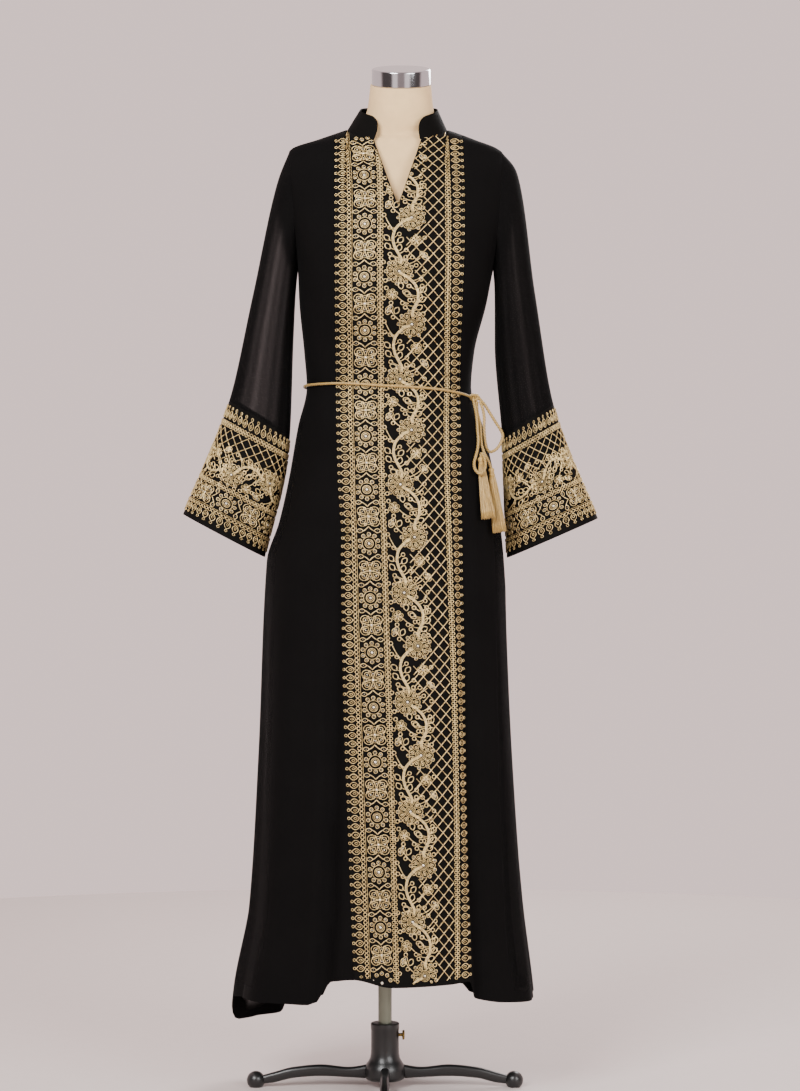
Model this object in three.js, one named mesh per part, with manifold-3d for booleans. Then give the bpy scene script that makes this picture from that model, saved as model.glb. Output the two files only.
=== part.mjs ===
// A long black jalabiya with a wide embroidered front, on a limbless dress form and its iron stand.
// Millimetres, +Z up. The viewer stands on the -Y side, the floor is z = 0 and the pole is near x = 0.
import * as THREE from 'three';
import { mergeVertices } from 'three/addons/utils/BufferGeometryUtils.js';
import Module from 'manifold-3d';

const wasm = await Module();
wasm.setup();

// Cloth
const CLOTH = 1.2; // wall of the chiffon with what is bonded to it
const TRIM = 1.8; // wall of the embroidered front and cuffs
const SEAM = 0.6; // gap between two pieces that are sewn together
const LINING_GAP = 5.6; // from the chiffon's line to the skirt lining, at the seam that holds it

// Body of the garment, as level rings from the hem up. Each ring runs from left to right in x, reaches
// front and back in y, and is rounder at power 2 and squarer above it.
const BODY = [
  { z: 60, left: -268, right: 248, front: 208, back: 222, power: 2.2 },
  { z: 154, left: -260, right: 240, front: 198, back: 210, power: 2.2 },
  { z: 304, left: -233, right: 222, front: 184, back: 196, power: 2.2 },
  { z: 550, left: -218, right: 204, front: 170, back: 180, power: 2.2 },
  { z: 868, left: -204, right: 187, front: 150, back: 158, power: 2.2 },
  { z: 930, left: -184, right: 181, front: 145, back: 151, power: 2.2 },
  { z: 1000, left: -168, right: 172, front: 138, back: 142, power: 2.2 },
  { z: 1090, left: -152, right: 152, front: 122, back: 118, power: 2.3 },
  { z: 1153, left: -138, right: 133, front: 106, back: 100, power: 2.4 },
  { z: 1210, left: -142, right: 138, front: 112, back: 103, power: 2.4 },
  { z: 1290, left: -150, right: 158, front: 130, back: 108, power: 2.3 },
  { z: 1350, left: -153, right: 170, front: 126, back: 112, power: 2.3 },
  { z: 1440, left: -176, right: 196, front: 108, back: 112, power: 2.3 },
  { z: 1500, left: -182, right: 200, front: 86, back: 98, power: 2.3 },
  { z: 1535, left: -172, right: 190, front: 68, back: 80, power: 2.2 },
  { z: 1547, left: -163, right: 177, front: 62, back: 72, power: 2.2 },
  { z: 1560, left: -124, right: 143, front: 58, back: 68, power: 2.2 },
  { z: 1570, left: -95, right: 117, front: 52, back: 68, power: 2.2 },
  { z: 1578, left: -72, right: 94, front: 44, back: 67, power: 2.2 },
];

// Hem height round the body. Angle 0 is the middle of the front, 90 the right side, 180 the back.
const HEM = [
  { angle: -180, z: 145 },
  { angle: -150, z: 140 },
  { angle: -130, z: 100 },
  { angle: -112, z: 95 },
  { angle: -102, z: 140 },
  { angle: -90, z: 150 },
  { angle: -60, z: 163 },
  { angle: -28, z: 164 },
  { angle: -23, z: 198 },
  { angle: -11, z: 206 },
  { angle: 3, z: 194 },
  { angle: 25, z: 197 },
  { angle: 33, z: 200 },
  { angle: 38, z: 172 },
  { angle: 50, z: 162 },
  { angle: 90, z: 154 },
  { angle: 110, z: 146 },
  { angle: 150, z: 140 },
  { angle: 180, z: 145 },
];

// Long soft folds of the skirt: middle, half width in degrees, depth at the hem and where it starts.
const FOLDS = [
  { angle: -78, width: 13, depth: -16, top: 900 },
  { angle: -52, width: 16, depth: 12, top: 950 },
  { angle: -24, width: 7, depth: -24, top: 1120 },
  { angle: 41, width: 8, depth: -20, top: 1080 },
  { angle: 62, width: 15, depth: 13, top: 900 },
  { angle: 88, width: 12, depth: -15, top: 820 },
  { angle: 112, width: 13, depth: 16, top: 1000 },
  { angle: 134, width: 10, depth: -20, top: 1080 },
  { angle: 158, width: 13, depth: 16, top: 1000 },
  { angle: -178, width: 11, depth: -20, top: 1080 },
  { angle: -154, width: 13, depth: 16, top: 1000 },
  { angle: -130, width: 10, depth: -20, top: 1050 },
  { angle: -108, width: 12, depth: 14, top: 900 },
];

// The embroidered front: its two edges, from hem to shoulder
const PANEL = [
  { z: 195, left: -56, right: 130 },
  { z: 640, left: -73.3, right: 126.3 },
  { z: 868, left: -79, right: 119.7 },
  { z: 1153, left: -86.6, right: 112.5 },
  { z: 1450, left: -89, right: 120.5 },
  { z: 1570, left: -90.3, right: 118 },
];
const SLIT = { x: 12.5, z: 1448, left: -28, right: 51, waistZ: 900 };

// Neckline, and the stand collar that rises from it and leans in to the neck
const NECK = { x: 11, across: 83, front: 62, back: 66, z: 1572, dip: 18, rise: 6 };
const COLLAR = { x: 14, across: 64, front: 57, back: 62, height: 34, corner: 20, gap: 27 };

// Armhole, from the underarm to the shoulder's tip
const ARMHOLE = [
  { z: 1350, left: -153, right: 170 },
  { z: 1446, left: -158, right: 178 },
  { z: 1542, left: -167, right: 184 },
];

// Sleeves: the outer and the inner line as seen from the front, and half the depth from front to back.
// along is 0 at the armhole, 1 at the cuff's seam and 2 at the cuff's hem.
const SLEEVES = {
  left: [
    { along: 0, outerX: -168, outerZ: 1542, innerX: -154, innerZ: 1350, depth: 57 },
    { along: 0.14, outerX: -186, outerZ: 1494, innerX: -156, innerZ: 1318, depth: 56 },
    { along: 0.5, outerX: -226, outerZ: 1310, innerX: -160, innerZ: 1230, depth: 50 },
    { along: 1, outerX: -266, outerZ: 1131.5, innerX: -166, innerZ: 1072, depth: 46 },
    { along: 2, outerX: -342, outerZ: 945, innerX: -207, innerZ: 874, depth: 60 },
  ],
  right: [
    { along: 0, outerX: 185, outerZ: 1542, innerX: 171, innerZ: 1350, depth: 57 },
    { along: 0.14, outerX: 209, outerZ: 1508, innerX: 172, innerZ: 1318, depth: 56 },
    { along: 0.5, outerX: 238, outerZ: 1312, innerX: 172, innerZ: 1226, depth: 50 },
    { along: 1, outerX: 269, outerZ: 1125.7, innerX: 184, innerZ: 1072, depth: 46 },
    { along: 2, outerX: 342, outerZ: 938, innerX: 192, innerZ: 873, depth: 60 },
  ],
};
const SLEEVE_STEPS = [0, 0.07, 0.16, 0.28, 0.42, 0.57, 0.72, 0.86, 0.997];
const CUFF_STEPS = [1, 1.33, 1.66, 2];
const SLEEVE_WAVES = { count: 5, depth: 2.5 };
const SLEEVE_OUT = 1.6; // how far the sleeve's seam stands out from the armhole's edge

// Skirt lining: how far its hem stays above the skirt's and above the floor, and how much narrower it
// gets than the skirt at each side, at the front and at the back
const LINING = { top: 1100, rise: 9, lowest: 156, left: 34, right: 26, front: 32, back: 32, ease: 900 };

// Dress form, as level rings from its open foot up to the neck
const FORM = [
  { z: 860, left: -146, right: 134, front: 98, back: 104, power: 2.1 },
  { z: 885, left: -157, right: 144, front: 108, back: 114, power: 2.2 },
  { z: 980, left: -158, right: 147, front: 112, back: 118, power: 2.2 },
  { z: 1080, left: -137, right: 131, front: 98, back: 98, power: 2.2 },
  { z: 1153, left: -123, right: 119, front: 90, back: 86, power: 2.2 },
  { z: 1215, left: -128, right: 124, front: 97, back: 90, power: 2.2 },
  { z: 1290, left: -137, right: 144, front: 117, back: 96, power: 2.2 },
  { z: 1350, left: -140, right: 156, front: 111, back: 101, power: 2.2 },
  { z: 1440, left: -148, right: 166, front: 90, back: 99, power: 2.2 },
  { z: 1500, left: -150, right: 168, front: 68, back: 86, power: 2.2 },
  { z: 1530, left: -150, right: 167, front: 56, back: 72, power: 2.2 },
  { z: 1545, left: -144, right: 160, front: 52, back: 64, power: 1.9 },
  { z: 1558.4, left: -124, right: 143, front: 47, back: 56, power: 1.55 },
  { z: 1565.8, left: -94, right: 114, front: 42, back: 54, power: 1.45 },
  { z: 1571, left: -75, right: 92, front: 43, back: 54, power: 1.45 },
  { z: 1583, left: -54, right: 80, front: 45, back: 55, power: 1.8 },
  { z: 1613, left: -38, right: 71, front: 49, back: 53, power: 2.0 },
  { z: 1653, left: -33, right: 67, front: 49, back: 51, power: 2.0 },
];
const FORM_SIDES = 24;
const FORM_LEVELS = [
  860, 885, 930, 980, 1040, 1100, 1153, 1200, 1245, 1290, 1330, 1370, 1410, 1450, 1485, 1510, 1530, 1545,
  1558.4, 1565.8, 1571, 1583, 1613, 1653,
];
const NECK_TILT = 16.9; // degrees that the neck's top leans forward
const NECK_FOOT = 1583; // where the neck starts to lean
const CAP = { x: 17.5, radius: 48.5, height: 26, edge: 1.5 };

// Stand
const POLE = { x: -9, radius: 11.2, bottom: 35, socket: 940 };
const RUNNING_GAP = 0.35; // round the pole, in the hub and in the form
const SEAT = 0.3; // between two pieces that bear on each other
const HUB = { radius: 23.5, top: 106, bottom: 12, rim: 2, flare: 34 };
const LEG = { reach: 213, width: 15, steps: 7, bevel: 2 };
const LEG_LINE = [
  { out: 16, low: 13, high: 40 },
  { out: 60, low: 16, high: 33 },
  { out: 105, low: 18, high: 37 },
  { out: 150, low: 15, high: 33 },
  { out: 185, low: 7, high: 24 },
  { out: 203, low: 5, high: 19 },
];
const BALL = { radius: 15, foot: 10 };
const SCREW = { z: 86, shank: 2.6, head: 8, thick: 4, stands: 5 };

// Belt: a twisted cord tied at the right side, with a bow, two free ends and their tassels
const CORD = 4.8;
const CORD_SIDES = 8;
const BELT = [
  { angle: -180, z: 1150 },
  { angle: -90, z: 1154.5 },
  { angle: -40, z: 1155 },
  { angle: 0, z: 1150 },
  { angle: 35, z: 1145 },
  { angle: 60, z: 1138 },
  { angle: 74, z: 1134 },
  { angle: 110, z: 1139 },
  { angle: 180, z: 1150 },
];
const BELT_LIFT = 1.5; // from the cloth to the cord
const KNOT = { angle: 74, length: 16, width: 13, depth: 10, lift: 4.2, halfTurn: 2.85 };

const BLACK = { color: 0x0d0c0d, roughness: 0.85, metalness: 0 };
const EMBROIDERED = { color: 0x8c7347, roughness: 0.6, metalness: 0 };
const STRAW = { color: 0xc9ae72, roughness: 0.6, metalness: 0 };
const LINEN = { color: 0xe0c8a8, roughness: 0.9, metalness: 0 };
const CHROME = { color: 0xc4c4c6, roughness: 0.2, metalness: 1 };
const PAINTED = { color: 0x8f9488, roughness: 0.5, metalness: 0.2 };
const IRON = { color: 0x1c1c1c, roughness: 0.6, metalness: 0.5 };
const BRASS = { color: 0x8d7440, roughness: 0.4, metalness: 1 };

const model = new THREE.Group();

function add(name, geometry, look) {
  const mesh = new THREE.Mesh(geometry, new THREE.MeshStandardMaterial(look));
  mesh.name = name;
  model.add(mesh);
  return mesh;
}

const { lerp, clamp, degToRad } = THREE.MathUtils;

// One column of a table at a height, angle or length, on a smooth curve through its rows that stays
// between them.
function read(table, key, column, at) {
  const last = table.length - 1;
  if (at <= table[0][key]) return table[0][column];
  if (at >= table[last][key]) return table[last][column];
  let row = 0;
  while (at > table[row + 1][key]) row += 1;
  const step = (k) => table[k + 1][key] - table[k][key];
  const secant = (k) => (table[k + 1][column] - table[k][column]) / step(k);
  const slope = (k) => {
    if (k === 0) return secant(0);
    if (k === last) return secant(last - 1);
    const [before, after] = [secant(k - 1), secant(k)];
    return before * after > 0 ? (2 * before * after) / (before + after) : 0;
  };
  const t = (at - table[row][key]) / step(row);
  const [from, to] = [table[row][column], table[row + 1][column]];
  const [rise, fall] = [slope(row) * step(row), slope(row + 1) * step(row)];
  return from + t * (rise + t * (3 * (to - from) - 2 * rise - fall + t * (rise + fall - 2 * (to - from))));
}

// A closed body from its vertices and triangles
function solid(points, triangles) {
  const geometry = new THREE.BufferGeometry();
  geometry.setAttribute('position', new THREE.Float32BufferAttribute(points.flatMap((p) => p.toArray()), 3));
  geometry.setIndex(triangles.flat());
  return geometry;
}

// The mean direction of the faces that meet at each point
function meanNormals(points, quads) {
  const normals = points.map(() => new THREE.Vector3());
  for (const [a, b, c, d] of quads) {
    const across = points[c].clone().sub(points[a]);
    const normal = across.cross(points[d].clone().sub(points[b]));
    for (const corner of [a, b, c, d]) normals[corner].add(normal);
  }
  return normals.map((normal) => normal.normalize());
}

// A wall of cloth from its outer points and the quads between them, counter-clockwise from outside.
// The inner points lie the wall's thickness behind them, and every open edge is closed.
function wall(points, quads, thickness, normals = meanNormals(points, quads)) {
  const inner = points.map((point, k) => point.clone().addScaledVector(normals[k], -thickness));
  const edges = new Set();
  for (const quad of quads) quad.forEach((from, k) => edges.add(`${from} ${quad[(k + 1) % 4]}`));
  const behind = points.length;
  const triangles = [];
  for (const [a, b, c, d] of quads) {
    triangles.push([a, b, c], [a, c, d]);
    triangles.push([a + behind, c + behind, b + behind], [a + behind, d + behind, c + behind]);
  }
  for (const edge of edges) {
    const [from, to] = edge.split(' ').map(Number);
    if (edges.has(`${to} ${from}`)) continue;
    triangles.push([to, from, from + behind], [to, from + behind, to + behind]);
  }
  return solid([...points, ...inner], triangles);
}

// The quads of a grid of rows and columns. A closed grid joins its last column to its first.
function gridQuads(rows, columns, closed = false) {
  const quads = [];
  for (let i = 0; i + 1 < rows; i += 1) {
    for (let j = 0; j < (closed ? columns : columns - 1); j += 1) {
      const next = (j + 1) % columns;
      quads.push([i * columns + j, i * columns + next, (i + 1) * columns + next, (i + 1) * columns + j]);
    }
  }
  return quads;
}

// A stack of closed rings, lowest first and each counter-clockwise from above, closed at both ends
function loft(rings) {
  const sides = rings[0].length;
  const points = rings.flat();
  const quads = gridQuads(rings.length, sides, true);
  const triangles = quads.flatMap(([a, b, c, d]) => [[a, b, c], [a, c, d]]);
  const last = (rings.length - 1) * sides;
  for (let j = 1; j + 1 < sides; j += 1) triangles.push([0, j + 1, j], [last, last + j, last + j + 1]);
  return solid(points, triangles);
}

// How far a fold moves the cloth out, at an angle in degrees and a height
function fold(angle, z) {
  let out = 0;
  for (const { angle: middle, width, depth, top } of FOLDS) {
    const apart = Math.abs(((angle - middle + 540) % 360) - 180) / width;
    if (apart >= 1 || z >= top) continue;
    out += depth * Math.cos((apart * Math.PI) / 2) ** 2 * ((top - z) / (top - 150)) ** 0.8;
  }
  return out;
}

// A point of a ring table at x and z, on its front (side -1) or back (side 1). The ring's edge is
// |across| ** power + |depth| ** power = 1, and inset moves it inwards.
function onRing(table, x, z, side, folded = true, inset = () => 0) {
  const [left, right] = [read(table, 'z', 'left', z), read(table, 'z', 'right', z)];
  const power = read(table, 'z', 'power', z);
  const depth = read(table, 'z', side < 0 ? 'front' : 'back', z);
  const across = clamp((2 * x - left - right) / (right - left), -1, 1);
  const y = side * depth * (1 - Math.abs(across) ** power) ** (1 / power);
  const turn = Math.asin(across);
  const angle = side < 0 ? turn : Math.PI - turn;
  const out = (folded ? fold(THREE.MathUtils.radToDeg(angle), z) : 0) - inset(angle, z);
  return new THREE.Vector3(x + out * Math.sin(angle), y - out * Math.cos(angle), z);
}

// The x at which an angle from the front meets a ring
function ringX(table, angle, z) {
  const [left, right] = [read(table, 'z', 'left', z), read(table, 'z', 'right', z)];
  return (left + right) / 2 + ((right - left) / 2) * Math.sin(angle);
}

function hemAt(x, side) {
  const z = 160;
  const [left, right] = [read(BODY, 'z', 'left', z), read(BODY, 'z', 'right', z)];
  const turn = THREE.MathUtils.radToDeg(Math.asin(clamp((2 * x - left - right) / (right - left), -1, 1)));
  const angle = side < 0 ? turn : Math.sign(turn || 1) * 180 - turn;
  return read(HEM, 'angle', 'z', angle);
}

// A point of the neckline, at an angle from the front
function neckline(angle) {
  const forward = Math.cos(angle);
  const reach = forward > 0 ? NECK.front : NECK.back;
  return new THREE.Vector3(
    NECK.x + NECK.across * Math.sin(angle),
    -reach * forward,
    NECK.z - NECK.dip * forward + NECK.rise * Math.sin(angle) ** 2,
  );
}

// The top edge of the front or back above x: the neckline between its two corners, and the shoulder
// seam outside them, where the left or right side of the rings comes in to x
function topEdge(x, side) {
  const across = (x - NECK.x) / NECK.across;
  if (Math.abs(across) < 1) {
    const turn = Math.asin(across);
    return neckline(side < 0 ? turn : Math.PI - turn);
  }
  const column = across < 0 ? 'left' : 'right';
  let [low, high] = [1500, NECK.z + NECK.rise];
  for (let step = 0; step < 30; step += 1) {
    const middle = (low + high) / 2;
    if (Math.abs(read(BODY, 'z', column, middle)) > Math.abs(x)) low = middle;
    else high = middle;
  }
  return new THREE.Vector3(x, side * SEAM * 0.7, low);
}

const WAIST = 1153;
const UNDERARM = ARMHOLE[0].z;
const TIP = ARMHOLE[2].z;
const SHOULDER = PANEL[PANEL.length - 1].z;

// A point of the body above the underarm: up is 0 there and 1 at the top edge over topX
function yoke(x, topX, up, side) {
  const top = topEdge(topX, side);
  const z = lerp(UNDERARM, top.z, up);
  const point = onRing(BODY, x, z, side);
  const there = onRing(BODY, top.x, top.z, side);
  return point.addScaledVector(top.sub(there), up ** 3);
}

// A point of the body below the underarm: up is 0 at the hem, 1 at the waist and 2 at the underarm
function skirt(hemX, xAt, up, side) {
  const z = up < 1 ? lerp(hemAt(hemX, side), WAIST, up) : lerp(WAIST, UNDERARM, up - 1);
  const point = onRing(BODY, xAt(z), z, side);
  if (Math.abs(point.y) < SEAM) point.y = side * SEAM * 0.7;
  return point;
}

// The way that the body's surface faces at a point, the same for the pieces on both sides of a seam,
// so that their walls don't reach into each other
function bodyNormal({ x, y, z }) {
  const side = y < 0 ? -1 : 1;
  const apart = 2;
  const along = onRing(BODY, x + apart, z, side).sub(onRing(BODY, x - apart, z, side));
  const up = onRing(BODY, x, z + apart, side).sub(onRing(BODY, x, z - apart, side));
  const normal = along.cross(up).multiplyScalar(-side);
  if (Math.abs(y) < SEAM) normal.y = 0;
  return normal.normalize();
}

// Rows stand closer where the outline bends more
const SKIRT_ROWS = [
  0, 0.06, 0.15, 0.28, 0.42, 0.56, 0.68, 0.78, 0.86, 0.92, 0.96, 0.98, 1, 1.1, 1.25, 1.45, 1.7, 2,
];
const YOKE_ROWS = [0.12, 0.26, 0.4, 0.54, 0.68, 0.8, 0.88, 0.94, 0.975, 1];

// A side of the front, from the side seam, armhole and shoulder seam to the embroidered front
function frontSide(which) {
  const hand = which === 'left' ? -1 : 1;
  const columns = [0, 0.16, 0.34, 0.52, 0.68, 0.84, 1];
  const edge = (z) => read(PANEL, 'z', which, z) + hand * SEAM;
  const points = [];
  for (const up of SKIRT_ROWS) {
    for (const share of columns) {
      const spread = 1 - Math.cos((share * Math.PI) / 2);
      const xAt = (z) => lerp(read(BODY, 'z', which, z), edge(z), spread);
      points.push(skirt(xAt(160), xAt, up, -1));
    }
  }
  for (const up of YOKE_ROWS) {
    for (const share of columns) {
      const spread = 1 - Math.cos((share * Math.PI) / 2);
      const outer = (height) => read(ARMHOLE, 'z', which, lerp(UNDERARM, TIP, height));
      const inner = (height) => edge(lerp(UNDERARM, SHOULDER, height));
      const topX = lerp(outer(1), inner(1), spread);
      points.push(yoke(lerp(outer(up), inner(up), spread), topX, up, -1));
    }
  }
  const quads = gridQuads(SKIRT_ROWS.length + YOKE_ROWS.length, columns.length);
  const facing = hand < 0 ? quads : quads.map(([a, b, c, d]) => [b, a, d, c]);
  return wall(points, facing, CLOTH, points.map(bodyNormal));
}

// The back, from side seam to side seam
function back() {
  const columns = Array.from({ length: 17 }, (_, k) => k / 16);
  const points = [];
  for (const up of SKIRT_ROWS) {
    for (const share of columns) {
      const xAt = (z) => ringX(BODY, lerp(Math.PI / 2, -Math.PI / 2, share), z);
      points.push(skirt(xAt(160), xAt, up, 1));
    }
  }
  for (const up of YOKE_ROWS) {
    for (const share of columns) {
      const spread = (1 - Math.sin(lerp(Math.PI / 2, -Math.PI / 2, share))) / 2;
      const side = (which, height) => read(ARMHOLE, 'z', which, lerp(UNDERARM, TIP, height));
      const xAt = (height) => lerp(side('right', height), side('left', height), spread);
      points.push(yoke(xAt(up), xAt(1), up, 1));
    }
  }
  const quads = gridQuads(SKIRT_ROWS.length + YOKE_ROWS.length, columns.length);
  return wall(points, quads, CLOTH, points.map(bodyNormal));
}

// The embroidered front, slit from the neckline. Its left and right halves share the points of the
// middle line up to the slit's foot, and part above it.
function frontPanel() {
  const footUp = (SLIT.z - UNDERARM) / (SHOULDER - UNDERARM);
  const yokeRows = [footUp / 2, footUp, ...YOKE_ROWS.filter((up) => up > footUp + 0.04)];
  const slitX = (which, up) => lerp(SLIT.x, SLIT[which], clamp((up - footUp) / (1 - footUp), 0, 1));
  const middle = (z) => (
    z > SLIT.waistZ ? SLIT.x : (read(PANEL, 'z', 'left', z) + read(PANEL, 'z', 'right', z)) / 2
  );
  const points = [];
  const index = {};
  const quads = [];
  const put = (key, point) => {
    index[key] = points.length;
    points.push(point);
  };
  for (const which of ['left', 'right']) {
    const edge = (up) => read(PANEL, 'z', which, lerp(UNDERARM, SHOULDER, up));
    const hand = which === 'left' ? -1 : 1;
    const corner = (NECK.x + hand * NECK.across * 0.998 - edge(1)) / (slitX(which, 1) - edge(1));
    const columns = [0, corner, lerp(corner, 1, 0.5), 1];
    SKIRT_ROWS.forEach((up, row) => {
      columns.forEach((share, column) => {
        const xAt = (z) => lerp(read(PANEL, 'z', which, z), middle(z), share);
        const key = share === 1 ? `middle ${row}` : `${which} ${row} ${column}`;
        if (!(key in index)) put(key, skirt(xAt(195), xAt, up, -1));
      });
    });
    yokeRows.forEach((up, k) => {
      const row = SKIRT_ROWS.length + k;
      columns.forEach((share, column) => {
        const x = lerp(edge(up), slitX(which, up), share);
        const topX = lerp(edge(1), slitX(which, 1), share);
        const shared = share === 1 && up <= footUp;
        const key = shared ? `middle ${row}` : `${which} ${row} ${column}`;
        if (!(key in index)) put(key, yoke(x, topX, up, -1));
      });
    });
    const at = (row, column) => index[`${which} ${row} ${column}`] ?? index[`middle ${row}`];
    for (let row = 0; row + 1 < SKIRT_ROWS.length + yokeRows.length; row += 1) {
      for (let column = 0; column < 3; column += 1) {
        const quad = [at(row, column), at(row, column + 1), at(row + 1, column + 1), at(row + 1, column)];
        quads.push(which === 'left' ? quad : [quad[1], quad[0], quad[3], quad[2]]);
      }
    }
  }
  return wall(points, quads, TRIM, points.map(bodyNormal));
}

// The skirt lining, a tube inside the skirt that is narrower than it at the sides
function lining() {
  const sides = 36;
  const rows = [0, 0.1, 0.25, 0.42, 0.6, 0.74, 0.86, 1];
  const inset = (angle, z) => {
    const down = clamp((LINING.top - z) / LINING.ease, 0, 1);
    const side = Math.sin(angle) < 0 ? LINING.left : LINING.right;
    const end = Math.cos(angle) > 0 ? LINING.front : LINING.back;
    const most = lerp(end, side, Math.abs(Math.sin(angle)) ** 3);
    return LINING_GAP + (most - LINING_GAP) * down;
  };
  const points = [];
  for (const up of rows) {
    for (let k = 0; k < sides; k += 1) {
      const angle = ((k + 0.5) / sides) * 2 * Math.PI;
      const above = read(HEM, 'angle', 'z', ((THREE.MathUtils.radToDeg(angle) + 180) % 360) - 180);
      const z = lerp(Math.max(above + LINING.rise, LINING.lowest), LINING.top, up);
      const side = Math.cos(angle) > 0 ? -1 : 1;
      points.push(onRing(BODY, ringX(BODY, angle, z), z, side, false, inset));
    }
  }
  return wall(points, gridQuads(rows.length, sides, true), CLOTH);
}

// A point of a sleeve, at an angle round it from the outer line towards the viewer
function sleevePoint(which, along, angle) {
  const table = SLEEVES[which];
  const value = (column) => read(table, 'along', column, along);
  const outer = new THREE.Vector2(value('outerX'), value('outerZ'));
  const inner = new THREE.Vector2(value('innerX'), value('innerZ'));
  const share = (1 + Math.cos(angle)) / 2;
  const spot = inner.clone().lerp(outer, share);
  const wave = SLEEVE_WAVES.depth * Math.min(along, 1) * Math.sin(SLEEVE_WAVES.count * angle);
  const y = -(value('depth') + wave) * Math.sin(angle);
  const point = new THREE.Vector3(spot.x, y, spot.y);
  const settle = clamp(1 - along / 0.3, 0, 1) ** 2;
  if (settle === 0) return point;
  const hand = which === 'left' ? -1 : 1;
  const z = lerp(UNDERARM, TIP, share);
  const hole = onRing(BODY, read(ARMHOLE, 'z', which, z), z, angle < Math.PI ? -1 : 1);
  hole.x += hand * SLEEVE_OUT;
  const start = new THREE.Vector3(
    lerp(table[0].innerX, table[0].outerX, share),
    -table[0].depth * Math.sin(angle),
    lerp(table[0].innerZ, table[0].outerZ, share),
  );
  return point.addScaledVector(hole.sub(start), settle);
}

function sleeveTube(which, rows, thickness) {
  const sides = 20;
  const points = [];
  for (const along of rows) {
    for (let k = 0; k < sides; k += 1) points.push(sleevePoint(which, along, (k / sides) * 2 * Math.PI));
  }
  const quads = gridQuads(rows.length, sides, true);
  const facing = which === 'left' ? quads.map(([a, b, c, d]) => [b, a, d, c]) : quads;
  return wall(points, facing.map(([a, b, c, d]) => [d, c, b, a]), thickness);
}

// The stand collar, open at the front, with its two front corners rounded off
function collar() {
  const columns = 24;
  const rows = [0, 0.4, 0.75, 1];
  const gap = degToRad(COLLAR.gap);
  const points = [];
  for (const up of rows) {
    for (let k = 0; k < columns; k += 1) {
      const angle = lerp(gap, 2 * Math.PI - gap, k / (columns - 1));
      const base = neckline(angle);
      const forward = Math.cos(angle);
      const reach = forward > 0 ? COLLAR.front : COLLAR.back;
      const topX = COLLAR.x + COLLAR.across * Math.sin(angle);
      const top = new THREE.Vector3(topX, -reach * forward, base.z + COLLAR.height);
      const fromEnd = Math.min(angle - gap, 2 * Math.PI - gap - angle) * COLLAR.across;
      const round = clamp(1 - fromEnd / COLLAR.corner, 0, 1);
      const height = 1 - (COLLAR.corner / COLLAR.height) * (1 - Math.sqrt(1 - round * round));
      base.z += SEAM + 0.4;
      points.push(base.lerp(top, up * height));
    }
  }
  return wall(points, gridQuads(rows.length, columns), CLOTH + 0.4);
}

// The dress form, with a blind socket for the pole in its foot
function form() {
  const angles = Array.from({ length: FORM_SIDES }, (_, k) => (k / FORM_SIDES) * 2 * Math.PI);
  const ring = (z, ringPoint) => angles.map((angle) => ringPoint(angle, z));
  const round = (radius) => (angle, z) => (
    new THREE.Vector3(POLE.x + radius * Math.sin(angle), -radius * Math.cos(angle), z)
  );
  const socket = POLE.radius + RUNNING_GAP;
  const lean = Math.tan(degToRad(NECK_TILT));
  const top = FORM[FORM.length - 1].z;
  const outside = (angle, z) => {
    const point = onRing(FORM, ringX(FORM, angle, z), z, Math.cos(angle) > 0 ? -1 : 1, false);
    point.z += point.y * lean * clamp((z - NECK_FOOT) / (top - NECK_FOOT), 0, 1);
    return point;
  };
  const foot = FORM[0].z;
  const rings = [ring(POLE.socket, round(socket)), ring(foot, round(socket))];
  for (const z of FORM_LEVELS) rings.push(ring(z, outside));
  return loft(rings);
}

// The cap that closes the neck, tilted with it
function neckCap() {
  const { radius, height, edge } = CAP;
  return turned([[0, 0], [radius, 0], [radius, height - edge], [radius - edge, height], [0, height]], 32);
}

// A body of revolution about the pole, from its profile of radius and height
function turned(profile, segments) {
  const outline = profile.map(([radius, z]) => new THREE.Vector2(radius, z));
  return new THREE.LatheGeometry(outline, segments).rotateX(Math.PI / 2);
}

function manifoldOf(geometry) {
  const bare = geometry.clone();
  bare.deleteAttribute('normal');
  bare.deleteAttribute('uv');
  const merged = mergeVertices(bare, 1e-4);
  return new wasm.Manifold(new wasm.Mesh({
    numProp: 3,
    vertProperties: merged.attributes.position.array,
    triVerts: new Uint32Array(merged.index.array),
  }));
}

function geometryOf(manifold) {
  const mesh = manifold.getMesh();
  const geometry = new THREE.BufferGeometry();
  geometry.setAttribute('position', new THREE.BufferAttribute(new Float32Array(mesh.vertProperties), 3));
  geometry.setIndex(new THREE.BufferAttribute(new Uint32Array(mesh.triVerts), 1));
  return geometry;
}

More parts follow.
